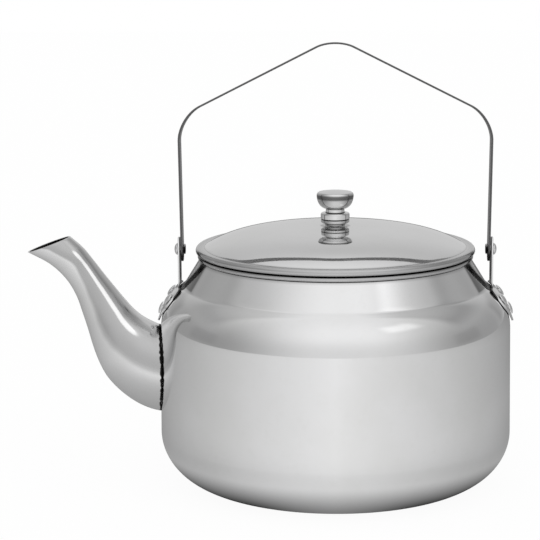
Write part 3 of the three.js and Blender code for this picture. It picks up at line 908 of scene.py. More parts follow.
@dataclass
class Spout:
    """The gooseneck, lofted between its belly and throat curves. Shares run from the root to the mouth."""

    body: Body
    root_low: float = 44.1 * MM
    root_high: float = 98.3 * MM
    tip_reach: float = 81.4 * MM
    tip_height: float = 144.1 * MM
    back_reach: float = 55.1 * MM
    back_height: float = 153.8 * MM
    root_width: float = 44 * MM
    neck_width: float = 19.5 * MM
    mouth_width: float = 17 * MM
    lip_round: float = 0.3 * MM
    lip_lean: float = 0.001  # share of the way by which the bore's ends lie deeper than the lip
    seam_reach: float = 1.3 * MM  # how far the dark joint and painted shadow of the seam run on the spout, and on the wall
    seam_reach_on_wall: float = 0.8 * MM
    mouth_inside: tuple[float, float, float] = (-0.168, 0.0, 0.1405)  # a place inside the mouth
    stations: int = 64
    sides: int = 80
    belly_shares: tuple[Place, ...] = (
        (0, 0), (0.142, 0.036), (0.287, 0.113), (0.408, 0.216), (0.474, 0.318), (0.518, 0.42),
        (0.553, 0.522), (0.592, 0.624), (0.634, 0.725), (0.705, 0.826), (0.824, 0.922), (1, 1),
    )
    throat_shares: tuple[Place, ...] = (
        (0, 0), (0.112, 0.045), (0.212, 0.103), (0.312, 0.19), (0.391, 0.281), (0.465, 0.372),
        (0.537, 0.464), (0.609, 0.555), (0.681, 0.65), (0.758, 0.752), (0.858, 0.875), (1, 1),
    )
    swell_shares: tuple[float, ...] = (1, 0.98, 0.9, 0.77, 0.61, 0.44, 0.29, 0.17, 0.07, 0, 0, 0)

    @property
    def root_middle(self) -> float:
        """Height of the middle of the root."""
        return (self.root_low + self.root_high) / 2

    def seam(self, joins_wall: bool) -> Seam:
        """Returns the seam round the root, a dark joint with painted shadow, on the wall or on the spout.
        """
        reach = self.seam_reach_on_wall if joins_wall else self.seam_reach
        half_height = (self.root_high - self.root_low) / 2
        return Seam(
            self.body.wall_radius, self.root_middle, self.root_width / 2, half_height, reach, joins_wall
        )

    def run(self, shares: Sequence[Place], low: float, reach: float, high: float) -> list[Vector]:
        """Places one of the two side curves, with a first place inside the wall.

        Args:
            shares: Shares of the way out and up.
            low: Height at the root.
            reach: Way out from the wall to the mouth.
            high: Height at the mouth.

        Returns:
            The curve's places.
        """
        wall = -self.body.wall_radius
        places = [Vector((wall - out * reach, 0, low + up * (high - low))) for out, up in shares]
        return [places[0] + Vector((OVERRUN, 0, 0)), *places]

    def half_widths(self) -> list[Vector]:
        """Returns the half width at each place, as vectors along Y."""
        spare = self.root_width - self.neck_width
        widths = [self.neck_width + swell * spare for swell in self.swell_shares]
        widths[-1] = self.mouth_width
        return [Vector((0, width / 2, 0)) for width in (widths[0], *widths)]

    def shell(self) -> bmesh.types.BMesh:
        """Lofts the oval tube and its bore, joined at the root and rounded at the lip."""
        belly = self.run(self.belly_shares, self.root_low, self.tip_reach, self.tip_height)
        throat = self.run(self.throat_shares, self.root_high, self.back_reach, self.back_height)
        widths = self.half_widths()
        mesh = bmesh.new()

        def ring(share: float, inset: float) -> list[bmesh.types.BMEdge]:
            low, high = along(belly, share), along(throat, share)
            stand = (high - low).normalized()
            across = along(widths, share, 0).y - inset
            turn = Matrix((stand.cross(Vector((0, 1, 0))), Vector((0, 1, 0)), stand)).transposed().to_4x4()
            size = Matrix.Diagonal((1, across, (high - low).length / 2 - inset, 1))
            upright = Matrix.Rotation(QUARTER, 4, "Y")
            place = Matrix.Translation((low + high) / 2) @ turn @ size @ upright
            made = bmesh.ops.create_circle(
                mesh, cap_ends=False, segments=self.sides, radius=1, matrix=place
            )
            return list({edge for vertex in made["verts"] for edge in vertex.link_edges})

        shares = [station / self.stations for station in range(self.stations + 1)]
        outside = [ring(share, 0.0) for share in shares]
        bore = [ring(self.lip_lean + share * (1 - 2 * self.lip_lean), SHEET) for share in reversed(shares)]
        rings = [*outside, *bore]
        for here, following in zip(rings, [*rings[1:], rings[0]]):
            bmesh.ops.bridge_loops(mesh, edges=here + following)
        bmesh.ops.recalc_face_normals(mesh, faces=mesh.faces)
        bmesh.ops.bevel(
            mesh, geom=outside[-1] + bore[0], offset=self.lip_round, segments=3, profile=0.5,
            affect="EDGES", material=-1,
        )
        return mesh

    def build(self, finish: SteelFinish) -> bpy.types.Object:
        """Makes the spout, fits its root to the wall and returns it."""
        piece = piece_of(self.shell(), "spout_gooseneck")
        envelope = self.body.outline(SEAM).line(0, self.body.neck_top)
        cut(piece, envelope.revolved(self.body.steps))
        return dress(piece, finish, "root", ["spout"])


@dataclass
class Lid:
    """The lid with its skirt, its turned knob, and the screw and washer that hold the knob."""

    body: Body
    curl_overhang: float = 0.6 * MM
    crease_dip: float = 0.25 * MM
    dome_rise: float = 12.6 * MM
    dome_power: float = 5
    rim_share: float = 0.6  # of the rise, which the turn at the rim takes
    flange_reach: float = 3.2 * MM
    curl_radius: float = 2.1 * MM
    curl_turn: float = math.radians(20)
    ring_radius: float = 41 * MM  # a faint ring that the spinning left round the middle
    ring_width: float = 2.4 * MM
    ring_rise: float = 0.05 * MM
    skirt_clearance: float = 1.2 * MM
    skirt_sheet: float = 0.8 * MM
    skirt_depth: float = 9.5 * MM
    shank_radius: float = 2 * MM
    shank_play: float = 0.3 * MM
    screw_head_radius: float = 5 * MM
    screw_head_height: float = 2.4 * MM
    screw_reach: float = 9 * MM
    screw_tip_round: float = 0.4 * MM
    slot_width: float = 1.2 * MM
    slot_depth: float = 1.1 * MM
    washer_radius: float = 6.6 * MM
    washer_thickness: float = 1 * MM
    edge_round: float = 0.2 * MM  # of the skirt and the washer
    dome_places: int = 56
    steps: int = 256

    def __post_init__(self) -> None:
        """Works out the places that follow from the sizes."""
        touch = self.body.bead_radius + self.curl_radius + SEAM
        self.curl_middle = self.body.neck_radius + self.curl_overhang
        self.crease_radius = self.curl_middle - self.flange_reach
        self.curl_height = self.body.bead_height + math.sqrt(touch**2 - self.curl_overhang**2)
        self.crease_height = self.curl_height + self.curl_radius - self.crease_dip
        self.apex = self.crease_height + self.dome_rise
        self.under = self.apex - SHEET - SEAM  # where the washer starts under the middle
        self.hole = self.shank_radius + self.shank_play

    def dome(self, radius: float) -> float:
        """Returns the dome's height at a radius."""
        ring = math.tanh((self.ring_radius - radius) / self.ring_width) - 1
        out = radius / self.crease_radius
        fall = self.rim_share * out**self.dome_power + (1 - self.rim_share) * out**2
        return self.apex - self.dome_rise * fall + ring * self.ring_rise / 2

    def cover(self) -> bmesh.types.BMesh:
        """Revolves the dome, the crease, the flange and the curl."""
        shares = [math.sin(QUARTER * i / self.dome_places) for i in range(self.dome_places + 1)]
        radii = [self.hole + (self.crease_radius - self.hole) * share for share in shares]
        curl = (self.curl_middle, self.curl_height)
        pen = Pen(radii[0], self.dome(radii[0]))
        pen.through((radius, self.dome(radius)) for radius in radii[1:])
        pen.line(curl[0], curl[1] + self.curl_radius, 4)
        pen.arc(curl, (self.curl_radius, self.curl_radius), QUARTER, self.curl_turn - math.pi, 28)
        inside = self.curl_middle - self.curl_radius * math.cos(self.curl_turn)
        pen.line(inside, self.curl_height + self.curl_radius - SHEET)
        pen.through((radius, self.dome(radius) - SHEET) for radius in reversed(radii))
        return pen.closed().revolved(self.steps)

    def skirt(self) -> bmesh.types.BMesh:
        """Revolves the ring that drops into the mouth."""
        outer = self.body.mouth_radius - self.skirt_clearance
        inner = outer - self.skirt_sheet
        top = self.crease_height - SHEET - SEAM
        low = top - self.skirt_depth
        pen = Pen(outer, top).line(inner, top).line(inner, low).rounded(self.edge_round, 3)
        return pen.line(outer, low).rounded(self.edge_round, 3).closed().revolved(self.steps)

    def washer(self) -> bmesh.types.BMesh:
        """Revolves the washer."""
        low = self.under - self.washer_thickness
        pen = Pen(self.hole, self.under).line(self.washer_radius, self.under).rounded(self.edge_round, 3)
        pen.line(self.washer_radius, low).rounded(self.edge_round, 3).line(self.hole, low)
        return pen.closed().revolved(64)

    def screw(self) -> bmesh.types.BMesh:
        """Revolves the screw."""
        head_top = self.under - self.washer_thickness - SEAM
        pen = Pen(0, self.under + SHEET + SEAM + self.screw_reach)
        pen.line(self.shank_radius, pen.tip.co.z).rounded(self.screw_tip_round, 3)
        pen.line(self.shank_radius, head_top)
        pen.arc((0, head_top), (self.screw_head_radius, self.screw_head_height), 0, -QUARTER, 12)
        return pen.revolved(64)

    def build(self, cover: SteelFinish, skirt: SteelFinish, screw: SteelFinish) -> None:
        """Makes the lid, the skirt, the washer and the screw.

        Args:
            cover: Steel of the lid.
            skirt: Steel of the skirt.
            screw: Steel of the screw and the washer.
        """
        dress(piece_of(self.cover(), "lid_dome"), cover, "lid", ["lid"])
        dress(piece_of(self.skirt(), "lid_skirt_ring"), skirt, "lid", ["lid_skirt"])
        dress(piece_of(self.washer(), "knob_washer_ring"), screw, "lid", ["knob_washer"])
        piece = piece_of(self.screw(), "knob_screw_pan")
        bottom = self.under - self.washer_thickness - SEAM - self.screw_head_height
        slot = bmesh.new()
        slot_reach = 2 * self.screw_head_radius + OVERRUN
        size = Matrix.Diagonal((slot_reach, self.slot_width, 2 * self.slot_depth, 1))
        bmesh.ops.create_cube(slot, size=1, matrix=Matrix.Translation((0, 0, bottom)) @ size)
        cut(piece, slot)
        dress(piece, screw, "lid", ["knob_screw"])


@dataclass
class Knob:
    """The turned knob: a grooved collar, a neck and a flat-topped bowl."""

    lid: Lid
    foot_radius: float = 6.2 * MM
    foot_height: float = 1.5 * MM
    collar_radius: float = 8.8 * MM
    collar_height: float = 6.3 * MM
    collar_round: float = 1.1 * MM
    groove_height: float = 2.3 * MM
    groove_width: float = 0.9 * MM
    groove_depth: float = 0.5 * MM
    groove_round: float = 0.2 * MM
    neck_radius: float = 5.7 * MM
    neck_height: float = 2.6 * MM
    neck_fillet: float = 0.35 * MM
    bowl_radius: float = 11.3 * MM
    bowl_height: float = 8.2 * MM
    top_radius: float = 9.6 * MM
    top_height: float = 1.9 * MM
    top_turn: float = math.radians(30)
    crown: float = 0.5 * MM
    crown_places: int = 8
    steps: int = 128

    def shape(self) -> bmesh.types.BMesh:
        """Revolves the knob with its blind bore."""
        foot = self.lid.apex + SEAM
        collar = foot + self.foot_height
        collar_top = collar + self.collar_height
        groove = collar + self.groove_height
        rim = collar_top + self.neck_height + self.bowl_height
        bore_top = self.lid.under + SHEET + SEAM + self.lid.screw_reach + SEAM
        edge = (self.collar_round, self.collar_round)
        collar_middle = self.collar_radius - self.collar_round
        pen = Pen(self.lid.hole, foot).line(self.foot_radius, foot).line(self.foot_radius, collar)
        pen.arc((collar_middle, collar + self.collar_round), edge, -QUARTER, 0, 8)
        pen.line(self.collar_radius, groove - self.groove_width / 2)
        pen.line(self.collar_radius - self.groove_depth, groove).rounded(self.groove_round)
        pen.line(self.collar_radius, groove + self.groove_width / 2)
        pen.arc((collar_middle, collar_top - self.collar_round), edge, 0, QUARTER, 8)
        pen.line(self.neck_radius, collar_top).rounded(self.neck_fillet)
        pen.line(self.neck_radius, rim - self.bowl_height, 2)
        bowl_radii = (self.bowl_radius - self.neck_radius, self.bowl_height)
        pen.arc((self.neck_radius, rim), bowl_radii, -QUARTER, 0, 28)
        top_radii = (self.bowl_radius - self.top_radius, self.top_height)
        pen.arc((self.top_radius, rim), top_radii, self.top_turn, QUARTER, 10)
        crown_height = rim + self.top_height
        outs = [1 - i / self.crown_places for i in range(1, self.crown_places + 1)]
        pen.through((self.top_radius * out, crown_height + self.crown * (1 - out**2)) for out in outs)
        return pen.line(0, bore_top).line(self.lid.hole, bore_top).closed().revolved(self.steps)

    def creases(self) -> tuple[Ring, ...]:
        """Returns the rings of painted shade: the groove, both ends of the neck, the bowl's rim and the
        foot.
        """
        collar = self.lid.apex + SEAM + self.foot_height
        neck = collar + self.collar_height
        bowl = neck + self.neck_height
        under_rim = bowl + self.bowl_height - 0.9 * MM
        under_collar = collar - 0.6 * MM
        return (
            Ring(self.collar_radius - self.groove_depth, collar + self.groove_height, reach=0.75 * MM),
            Ring(self.neck_radius, neck, reach=0.7 * MM),
            Ring(self.neck_radius, bowl, reach=0.6 * MM),
            Ring(self.bowl_radius, under_rim, reach=1.9 * MM, darkness=0.8),
            Ring(self.foot_radius + 1 * MM, under_collar, reach=2.2 * MM, darkness=0.55),
        )

    def build(self, finish: SteelFinish) -> None:
        """Makes the knob."""
        dress(piece_of(self.shape(), "lid_knob_turned"), finish, "lid", ["lid_knob"])


@dataclass
class Rivet:
    """One size of rivet, with a dome head outside and a flattened end inside."""

    head_radius: float
    head_height: float
    shank_radius: float
    end_radius: float
    end_height: float
    play: float = 0.3 * MM
    head_edge: float = 0.15 * MM
    end_edge: float = 0.3 * MM

    def shape(self, grip: float, seat: Matrix) -> bmesh.types.BMesh:
        """Revolves a rivet and sets it on its seat.

        Args:
            grip: Distance from under its head to its flattened end.
            seat: Matrix whose Z points out through its head.

        Returns:
            The rivet's mesh.
        """
        pen = Pen(0, self.head_height)
        pen.arc((0, 0), (self.head_radius, self.head_height), QUARTER, 0, 16).rounded(self.head_edge, 3)
        pen.line(self.shank_radius, 0).line(self.shank_radius, -grip)
        pen.line(self.end_radius, -grip).rounded(self.end_edge, 3)
        pen.line(self.end_radius, -grip - self.end_height).rounded(self.end_edge, 3)
        mesh = pen.line(0, -grip - self.end_height).revolved(64)
        bmesh.ops.transform(mesh, matrix=seat, verts=mesh.verts)
        return mesh

    def hole(self, seat: Matrix) -> bmesh.types.BMesh:
        """Makes the cutter of the rivet's hole."""
        return bar(seat, self.shank_radius + self.play, OVERRUN)


class Side(Enum):
    """The two sides of the kettle that carry an ear, by their direction along X."""

    LEFT = -1
    RIGHT = 1

    @property
    def word(self) -> str:
        """The side's word in the names of its pieces."""
        return self.name.lower()


@dataclass
class Ears:
    """The ears: a rounded triangle that follows the shoulder, with a tab that stands up to the pivot."""

    body: Body
    leave_turn: float = math.radians(50)
    bend_radius: float = 3 * MM
    flat_turn: float = math.radians(20)
    upper_turn: float = math.radians(36.5)
    upper_spread: float = 14 * MM
    corner_radius: float = 6.5 * MM
    tip_radius: float = 7.6 * MM
    fillet: float = 3 * MM
    pivot_rise: float = 2.3 * MM
    edge_round: float = 0.25 * MM
    cell: float = 1.2 * MM  # how finely the flat plate is divided before it is bent
    rivet: Rivet = field(
        default_factory=lambda: Rivet(
            head_radius=4 * MM, head_height=1.4 * MM, shank_radius=1.9 * MM, end_radius=3.1 * MM,
            end_height=1 * MM,
        )
    )
    pivot: Rivet = field(
        default_factory=lambda: Rivet(
            head_radius=3.6 * MM, head_height=1.9 * MM, shank_radius=2.1 * MM, end_radius=3.1 * MM,
            end_height=1.1 * MM,
        )
    )

    def __post_init__(self) -> None:
        """Works out the places that follow from the sizes."""
        self.middle_radius = self.body.shoulder_radius + SEAM + STRIP / 2
        self.leave_radius = self.body.shoulder_centre + self.middle_radius * math.cos(self.leave_turn)
        self.leave_height = self.body.wall_top + self.middle_radius * math.sin(self.leave_turn)
        self.tab_radius = self.leave_radius - self.bend_radius * (1 - math.cos(self.leave_turn))
        self.bend_height = self.leave_height + self.bend_radius * math.sin(self.leave_turn)
        self.pivot_height = self.body.bead_height + self.body.bead_radius + self.pivot_rise

    def line_at(self, height: float) -> tuple[float, float]:
        """Returns the radius of the sheet's middle at a height, and how far the sheet leans there."""
        flat_height = self.body.wall_top + self.middle_radius * math.sin(self.flat_turn)
        if height < flat_height:
            flat_radius = self.body.shoulder_centre + self.middle_radius * math.cos(self.flat_turn)
            return flat_radius + (flat_height - height) * math.tan(self.flat_turn), self.flat_turn
        if height < self.leave_height:
            turn = math.asin((height - self.body.wall_top) / self.middle_radius)
            return self.body.shoulder_centre + self.middle_radius * math.cos(turn), turn
        if height < self.bend_height:
            turn = math.asin((self.bend_height - height) / self.bend_radius)
            return self.tab_radius + self.bend_radius * (1 - math.cos(turn)), turn
        return self.tab_radius, 0.0

    def plate(self) -> bmesh.types.BMesh:
        """Cuts the flat plate, seen from its side, and rounds its edges."""
        half = STRIP_WIDTH / 2
        upper = self.body.wall_top + self.middle_radius * math.sin(self.upper_turn)
        lower = self.body.wall_top + self.middle_radius * math.sin(self.flat_turn)
        edge = upper + self.corner_radius
        run = math.hypot(self.upper_spread, upper - lower)
        lean = math.asin((self.corner_radius - self.tip_radius) / run)
        side = math.atan2(lower - upper, -self.upper_spread) + QUARTER - lean
        corner, tip = (self.corner_radius,) * 2, (self.tip_radius,) * 2
        fillet = (self.fillet,) * 2
        pen = Pen(half, self.pivot_height)
        pen.arc((half + self.fillet, edge + self.fillet), fillet, math.pi, 3 * QUARTER, 6)
        pen.arc((self.upper_spread, upper), corner, QUARTER, side, 14)
        pen.arc((0, lower), tip, side, -math.pi - side, 18)
        pen.arc((-self.upper_spread, upper), corner, math.pi - side, QUARTER, 14)
        pen.arc((-half - self.fillet, edge + self.fillet), fillet, -QUARTER, 0, 6)
        pen.arc((0, self.pivot_height), (half, half), math.pi, 0, 28)
        mesh = pen.closed().prism(-STRIP / 2, STRIP / 2)
        rims = [edge for edge in mesh.edges if abs(edge.calc_face_angle(0.0)) > RIM]
        bmesh.ops.bevel(
            mesh, geom=rims, offset=self.edge_round, segments=3, profile=0.5, affect="EDGES", material=-1
        )
        return mesh

    def bent(self, side: Side) -> bmesh.types.BMesh:
        """Divides the plate and bends it on to the shoulder of one side."""
        mesh = self.plate()
        lows = [min(vertex.co[axis] for vertex in mesh.verts) for axis in range(3)]
        highs = [max(vertex.co[axis] for vertex in mesh.verts) for axis in range(3)]
        for axis, normal in ((0, (1, 0, 0)), (2, (0, 0, 1))):
            for step in range(1, int((highs[axis] - lows[axis]) / self.cell)):
                place = Vector(normal) * (lows[axis] + step * self.cell)
                everything = mesh.verts[:] + mesh.edges[:] + mesh.faces[:]
                bmesh.ops.bisect_plane(mesh, geom=everything, dist=WELD, plane_co=place, plane_no=normal)
        for vertex in mesh.verts:
            across, proud, height = vertex.co
            radius, turn = self.line_at(height)
            radius += proud * math.cos(turn)
            out = math.sqrt(radius**2 - across**2)
            vertex.co = (side.value * out, across, height + proud * math.sin(turn))
        bmesh.ops.recalc_face_normals(mesh, faces=mesh.faces)
        return mesh

    def shoulder_seat(self, side: Side, turn: float, across: float) -> Matrix:
        """Returns the seat of a rivet on the ear's plate.

        Args:
            side: The ear's side.
            turn: Place of the rivet round the shoulder.
            across: Its distance from the middle along Y.
        """
        radius = self.body.shoulder_centre + self.middle_radius * math.cos(turn)
        round_turn = math.asin(across / radius)
        out = Vector((side.value * math.cos(round_turn), math.sin(round_turn), 0))
        direction = out * math.cos(turn) + Vector((0, 0, math.sin(turn)))
        middle = out * radius + Vector((0, 0, self.body.wall_top + self.middle_radius * math.sin(turn)))
        return aimed(middle + direction * (STRIP / 2 + SEAM), direction)

    def seats(self, side: Side) -> dict[str, Matrix]:
        """Returns the seats of one ear's three rivets by their place."""
        return {
            "front": self.shoulder_seat(side, self.upper_turn, -self.upper_spread),
            "back": self.shoulder_seat(side, self.upper_turn, self.upper_spread),
            "lower": self.shoulder_seat(side, self.flat_turn, 0.0),
        }

    def pivot_seat(self, side: Side) -> Matrix:
        """Returns the seat of one pivot rivet."""
        out = side.value * (self.tab_radius + STRIP / 2 + SEAM)
        return aimed(Vector((out, 0, self.pivot_height)), Vector((side.value, 0, 0)))

    def body_holes(self) -> list[bmesh.types.BMesh]:
        """Makes the cutters of the rivet holes in the body."""
        return [self.rivet.hole(seat) for side in Side for seat in self.seats(side).values()]

    def build(self, plate: SteelFinish, rivet: SteelFinish, leg_inside: float) -> None:
        """Makes both ears with their rivets and the two pivot rivets.

        Args:
            plate: Steel of the ears.
            rivet: Steel of the rivets.
            leg_inside: Distance from the middle plane to the inner face of the bail's legs.
        """
        bedding = self.rivet.end_radius**2 / (2 * (self.body.shoulder_radius - SHEET))
        grip = 3 * SEAM + STRIP + SHEET + bedding
        pivot_grip = self.tab_radius + STRIP / 2 + SEAM - leg_inside + SEAM
        for side in Side:
            ear = f"ear_{side.word}"
            piece = piece_of(self.bent(side), f"{ear}_plate")
            holes = [self.rivet.hole(seat) for seat in self.seats(side).values()]
            cut(piece, joined([*holes, self.pivot.hole(self.pivot_seat(side))]))
            dress(piece, plate, "root", [ear])
            for place, seat in self.seats(side).items():
                node = f"ear_rivet_{side.word}_{place}"
                dress(piece_of(self.rivet.shape(grip, seat), f"{node}_dome"), rivet, "root", [node])
            node = f"pivot_rivet_{side.word}"
            pin = self.pivot.shape(pivot_grip, self.pivot_seat(side))
            dress(piece_of(pin, f"{node}_dome"), rivet, "root", [node])


@dataclass
class Bail:
    """The carrying strip: two upright legs, two sloped sides and a round peak."""

    ears: Ears
    leg_play: float = 0.5 * MM
    leg_flare: float = 1.6 * MM
    leg_height: float = 80.8 * MM
    slope: float = math.radians(26.7)
    corner_bend: float = 23 * MM
    peak_bend: float = 25.4 * MM
    lean: float = math.radians(4.3)  # how far it leans back where its stiff pivots leave it standing
    edge_round: float = 0.3 * MM

    def __post_init__(self) -> None:
        """Works out the places that follow from the sizes."""
        inside_tab = self.ears.tab_radius - STRIP / 2
        self.leg_face = math.sqrt(inside_tab**2 - (STRIP_WIDTH / 2) ** 2) - self.leg_play
        self.half_span = self.leg_face - STRIP / 2

    def band(self) -> bmesh.types.BMesh:
        """Draws the strip's middle line and widens it along Y into a sheet."""
        pivot = self.ears.pivot_height
        bottom, corner = pivot - STRIP_WIDTH, pivot + self.leg_height
        reach = self.half_span + self.leg_flare
        foot = self.half_span - self.leg_flare * STRIP_WIDTH / self.leg_height
        peak = corner + reach * math.tan(self.slope)
        lean = math.atan(self.leg_flare / self.leg_height)
        corner_run = self.corner_bend * math.tan((QUARTER + lean - self.slope) / 2)
        peak_run = self.peak_bend * math.tan(self.slope)
        pen = Pen(-foot, bottom).line(-reach, corner).rounded(corner_run, 24)
        pen.line(0, peak).rounded(peak_run, 32)
        pen.line(reach, corner).rounded(corner_run, 24).line(foot, bottom)
        mesh = pen.drawn()
        swept = bmesh.ops.extrude_edge_only(mesh, edges=mesh.edges[:])["geom"]
        moved = [made for made in swept if isinstance(made, bmesh.types.BMVert)]
        bmesh.ops.translate(mesh, vec=(0, STRIP_WIDTH, 0), verts=moved)
        bmesh.ops.translate(mesh, vec=(0, -STRIP_WIDTH / 2, 0), verts=mesh.verts)
        bmesh.ops.recalc_face_normals(mesh, faces=mesh.faces)
        return mesh

    def ends(self) -> bmesh.types.BMesh:
        """Makes the shape that rounds the ends of the legs about the pivots."""
        half, far = STRIP_WIDTH / 2, self.half_span + self.leg_flare + OVERRUN
        top = self.ears.pivot_height + self.leg_height + far
        pen = Pen(half + WELD, top).line(-half - WELD, top)
        pen.arc((0, self.ears.pivot_height), (half + WELD, half), -math.pi, 0, 48)
        mesh = pen.closed().prism(-far, far)
        bmesh.ops.rotate(mesh, cent=(0, 0, 0), matrix=Matrix.Rotation(QUARTER, 3, "Z"), verts=mesh.verts)
        return mesh

    def build(self, finish: SteelFinish) -> None:
        """Makes the bail."""
        piece = piece_of(self.band(), "bail_strip")
        thicken = piece.modifiers.new("thickness", "SOLIDIFY")
        thicken.thickness = STRIP
        thicken.offset = 0
        thicken.use_even_offset = True
        cut(piece, self.ends(), Cut.INSIDE)
        cut(piece, joined([self.ears.pivot.hole(self.ears.pivot_seat(side)) for side in Side]))
        pivot = Matrix.Translation((0, 0, self.ears.pivot_height))
        piece.data.transform(pivot @ Matrix.Rotation(-self.lean, 4, "X") @ pivot.inverted())
        soften(piece, self.edge_round, 3)
        dress(piece, finish, "bail", ["bail_handle"])


@dataclass(frozen=True)
class Patch:
    """A stretch of the studio round the object that is brighter or darker than the rest, in degrees."""

    azimuth: float  # 0 is the camera's side, and 90 is +X
    elevation: float
    half_width: float
    half_height: float
    side_fade: float
    end_fade: float
    strength: float

    def mask(self, tree: Tree, azimuth: Socket, elevation: Socket) -> Socket:
        """Returns where it lies, for the way that is looked."""
        away = tree.sum("WRAP", tree.sum("SUBTRACT", azimuth, self.azimuth), 180.0, -180.0)
        across = tree.sum("ABSOLUTE", away)
        across = tree.fade(across, self.half_width, self.half_width + self.side_fade, 1, 0)
        above = tree.sum("ABSOLUTE", tree.sum("SUBTRACT", elevation, self.elevation))
        above = tree.fade(above, self.half_height, self.half_height + self.end_fade, 1, 0)
        return tree.sum("MULTIPLY", across, above)


@dataclass
class Studio:
    """The plain pale studio: its soft light, its floor and the camera."""

    floor_reach: float = 4.0
    floor_gap: float = 0.1 * MM
    # the floor glows for the steel with painted light and shadow, set by the fields below
    side_turn: tuple[float, float] = (0.2, 1.2)  # where the floor's sides begin and are full, in radians
    under_turn: tuple[float, float] = (0.0, 0.7)  # where its painted shadow under the kettle darkens from front to side, in radians
    under_shadow_tones: tuple[float, float] = (0.22, 0.03)  # its painted shadow under the kettle, in front and aside
    near_tone: float = 0.85  # its painted light beside the kettle, in front
    far_tone: float = 1.0
    side_loss: float = 0.1  # how much darker its painted light is beside the kettle at the sides
    turn_loss: float = 0.26  # light that it loses for each radian away from the front
    under_reach: float = 78 * MM
    near_reach: float = 125 * MM
    far_reach: float = 300 * MM
    floor_white: float = 0.95  # its own light for the camera, with the rest from the studio's
    floor_shade: float = 0.06
    horizon: float = 0.37
    overhead: float = 0.62  # light that the zenith has over the horizon
    lamp_place: tuple[float, float, float] = (0.19, -0.3, 0.44)
    lamp_size: float = 240 * MM
    lamp_glow: float = 1.15
    darkest: float = 0.015
    climb: tuple[float, float] = (5, 92)  # elevations between which the light climbs, in degrees
    patches: tuple[Patch, ...] = (
        Patch(8, -10, 12, 40, 80, 60, 0.47),  # the open front
        Patch(180, 0, 12, 12, 40, 35, 0.28),  # the backdrop
        Patch(150, 9, 6, 5, 8, 8, -0.12),  # the darker gaps beside the backdrop
        Patch(-150, 9, 6, 5, 8, 8, -0.12),
        Patch(97, 10, 8, 5, 8, 6, -0.04),  # the darker ends of the room
        Patch(-97, 10, 8, 5, 8, 6, -0.04),
        Patch(120, 52, 15, 12, 15, 18, -0.21),  # its darker upper corners
        Patch(-120, 52, 15, 12, 15, 18, -0.14),
        Patch(61, 52, 9, 2, 14, 8, 0.24),  # the haze of the lamp
    )
    camera_place: tuple[float, float, float] = (0.0, -1.3, 0.369707)
    pitch: float = math.radians(10.33)
    yaw: float = math.radians(-1.765)
    roll: float = math.radians(-0.327)
    focal_pixels: float = 2149.78
    image_pixels: float = 540
    sensor: float = 36.0
    farthest: float = 20.0  # what the camera sees

    def camera(self) -> None:
        """Sets the camera at the photograph's place."""
        data = bpy.data.cameras.new("camera")
        data.sensor_width = self.sensor
        data.lens = self.focal_pixels / self.image_pixels * self.sensor
        data.clip_end = self.farthest
        camera = bpy.data.objects.new("camera", data)
        bpy.context.scene.collection.objects.link(camera)
        turn = Matrix.Rotation(-self.yaw, 4, "Z") @ Matrix.Rotation(QUARTER - self.pitch, 4, "X")
        turned = Matrix.Translation(self.camera_place) @ turn
        camera.matrix_world = turned @ Matrix.Rotation(self.roll, 4, "Z")
        bpy.context.scene.camera = camera

    def light(self) -> None:
        """Lights the studio from the world, which the metal also shows."""
        world = bpy.data.worlds.new("studio")
        bpy.context.scene.world = world
        world.use_nodes = True
        tree = Tree(world.node_tree)
        x, y, z = tree.split(tree.add("TexCoord").outputs["Generated"])
        azimuth = tree.sum("DEGREES", tree.sum("ARCTAN2", x, tree.sum("MULTIPLY", y, -1.0)))
        elevation = tree.sum("DEGREES", tree.sum("ARCSINE", z))
        total = tree.fade(elevation, *self.climb, self.horizon, self.horizon + self.overhead)
        for patch in self.patches:
            mask = patch.mask(tree, azimuth, elevation)
            total = tree.sum("MULTIPLY_ADD", mask, patch.strength, total)
        total = tree.sum("MAXIMUM", total, self.darkest)
        seen = tree.add("LightPath").outputs["Is Camera Ray"]
        white = tree.add("Background", {"Color": (1, 1, 1, 1), "Strength": 1.0})
        studio = tree.add("Background", {"Color": (1, 1, 1, 1), "Strength": total})
        both = tree.add("MixShader", {0: seen, 1: studio.outputs[0], 2: white.outputs[0]})
        tree.add("OutputWorld", {"Surface": both.outputs[0]})

    def lamp(self, lit: bpy.types.Object) -> None:
        """Hangs the lamp that lights one piece alone.

        Args:
            lit: The piece.
        """
        data = bpy.data.lights.new("lamp", "AREA")
        data.shape = "DISK"
        data.size = self.lamp_size
        data.energy = self.lamp_glow * math.pi * math.pi * (self.lamp_size / 2) ** 2
        lamp = bpy.data.objects.new("lamp", data)
        bpy.context.scene.collection.objects.link(lamp)
        place = Vector(self.lamp_place)
        lamp.matrix_world = aimed(place, place - lit.matrix_world @ Vector(lit.bound_box[0]))
        lamp.visible_camera = False
        receivers = bpy.data.collections.new("lit by the lamp")
        receivers.objects.link(lit)
        lamp.light_linking.receiver_collection = receivers

    def painted_floor_light(self, tree: Tree) -> Socket:
        """Returns the floor's painted light as the steel shows it: a painted shadow under the kettle, paler
        farther out.
        """
        place = tree.add("TexCoord").outputs["Object"]
        reach = tree.add("VectorMath", {0: place}, operation="LENGTH").outputs["Value"]
        aside = tree.sum("DIVIDE", tree.split(place)[1], reach)
        turn = tree.sum("ARCCOSINE", tree.sum("MULTIPLY", aside, -1.0))
        lit = tree.sum("MULTIPLY_ADD", turn, -self.turn_loss, 1.0)
        side = tree.fade(turn, *self.side_turn)
        under = tree.fade(turn, *self.under_turn, *self.under_shadow_tones)
        around = tree.sum("MULTIPLY_ADD", side, -self.side_loss, self.near_tone)
        near = tree.fade(reach, self.under_reach, self.near_reach, under, around)
        gain = tree.sum("MULTIPLY_ADD", side, self.side_loss, self.far_tone - self.near_tone)
        rest = tree.fade(reach, self.near_reach, self.far_reach, 0.0, gain)
        return tree.sum("MULTIPLY", lit, tree.sum("ADD", near, rest))

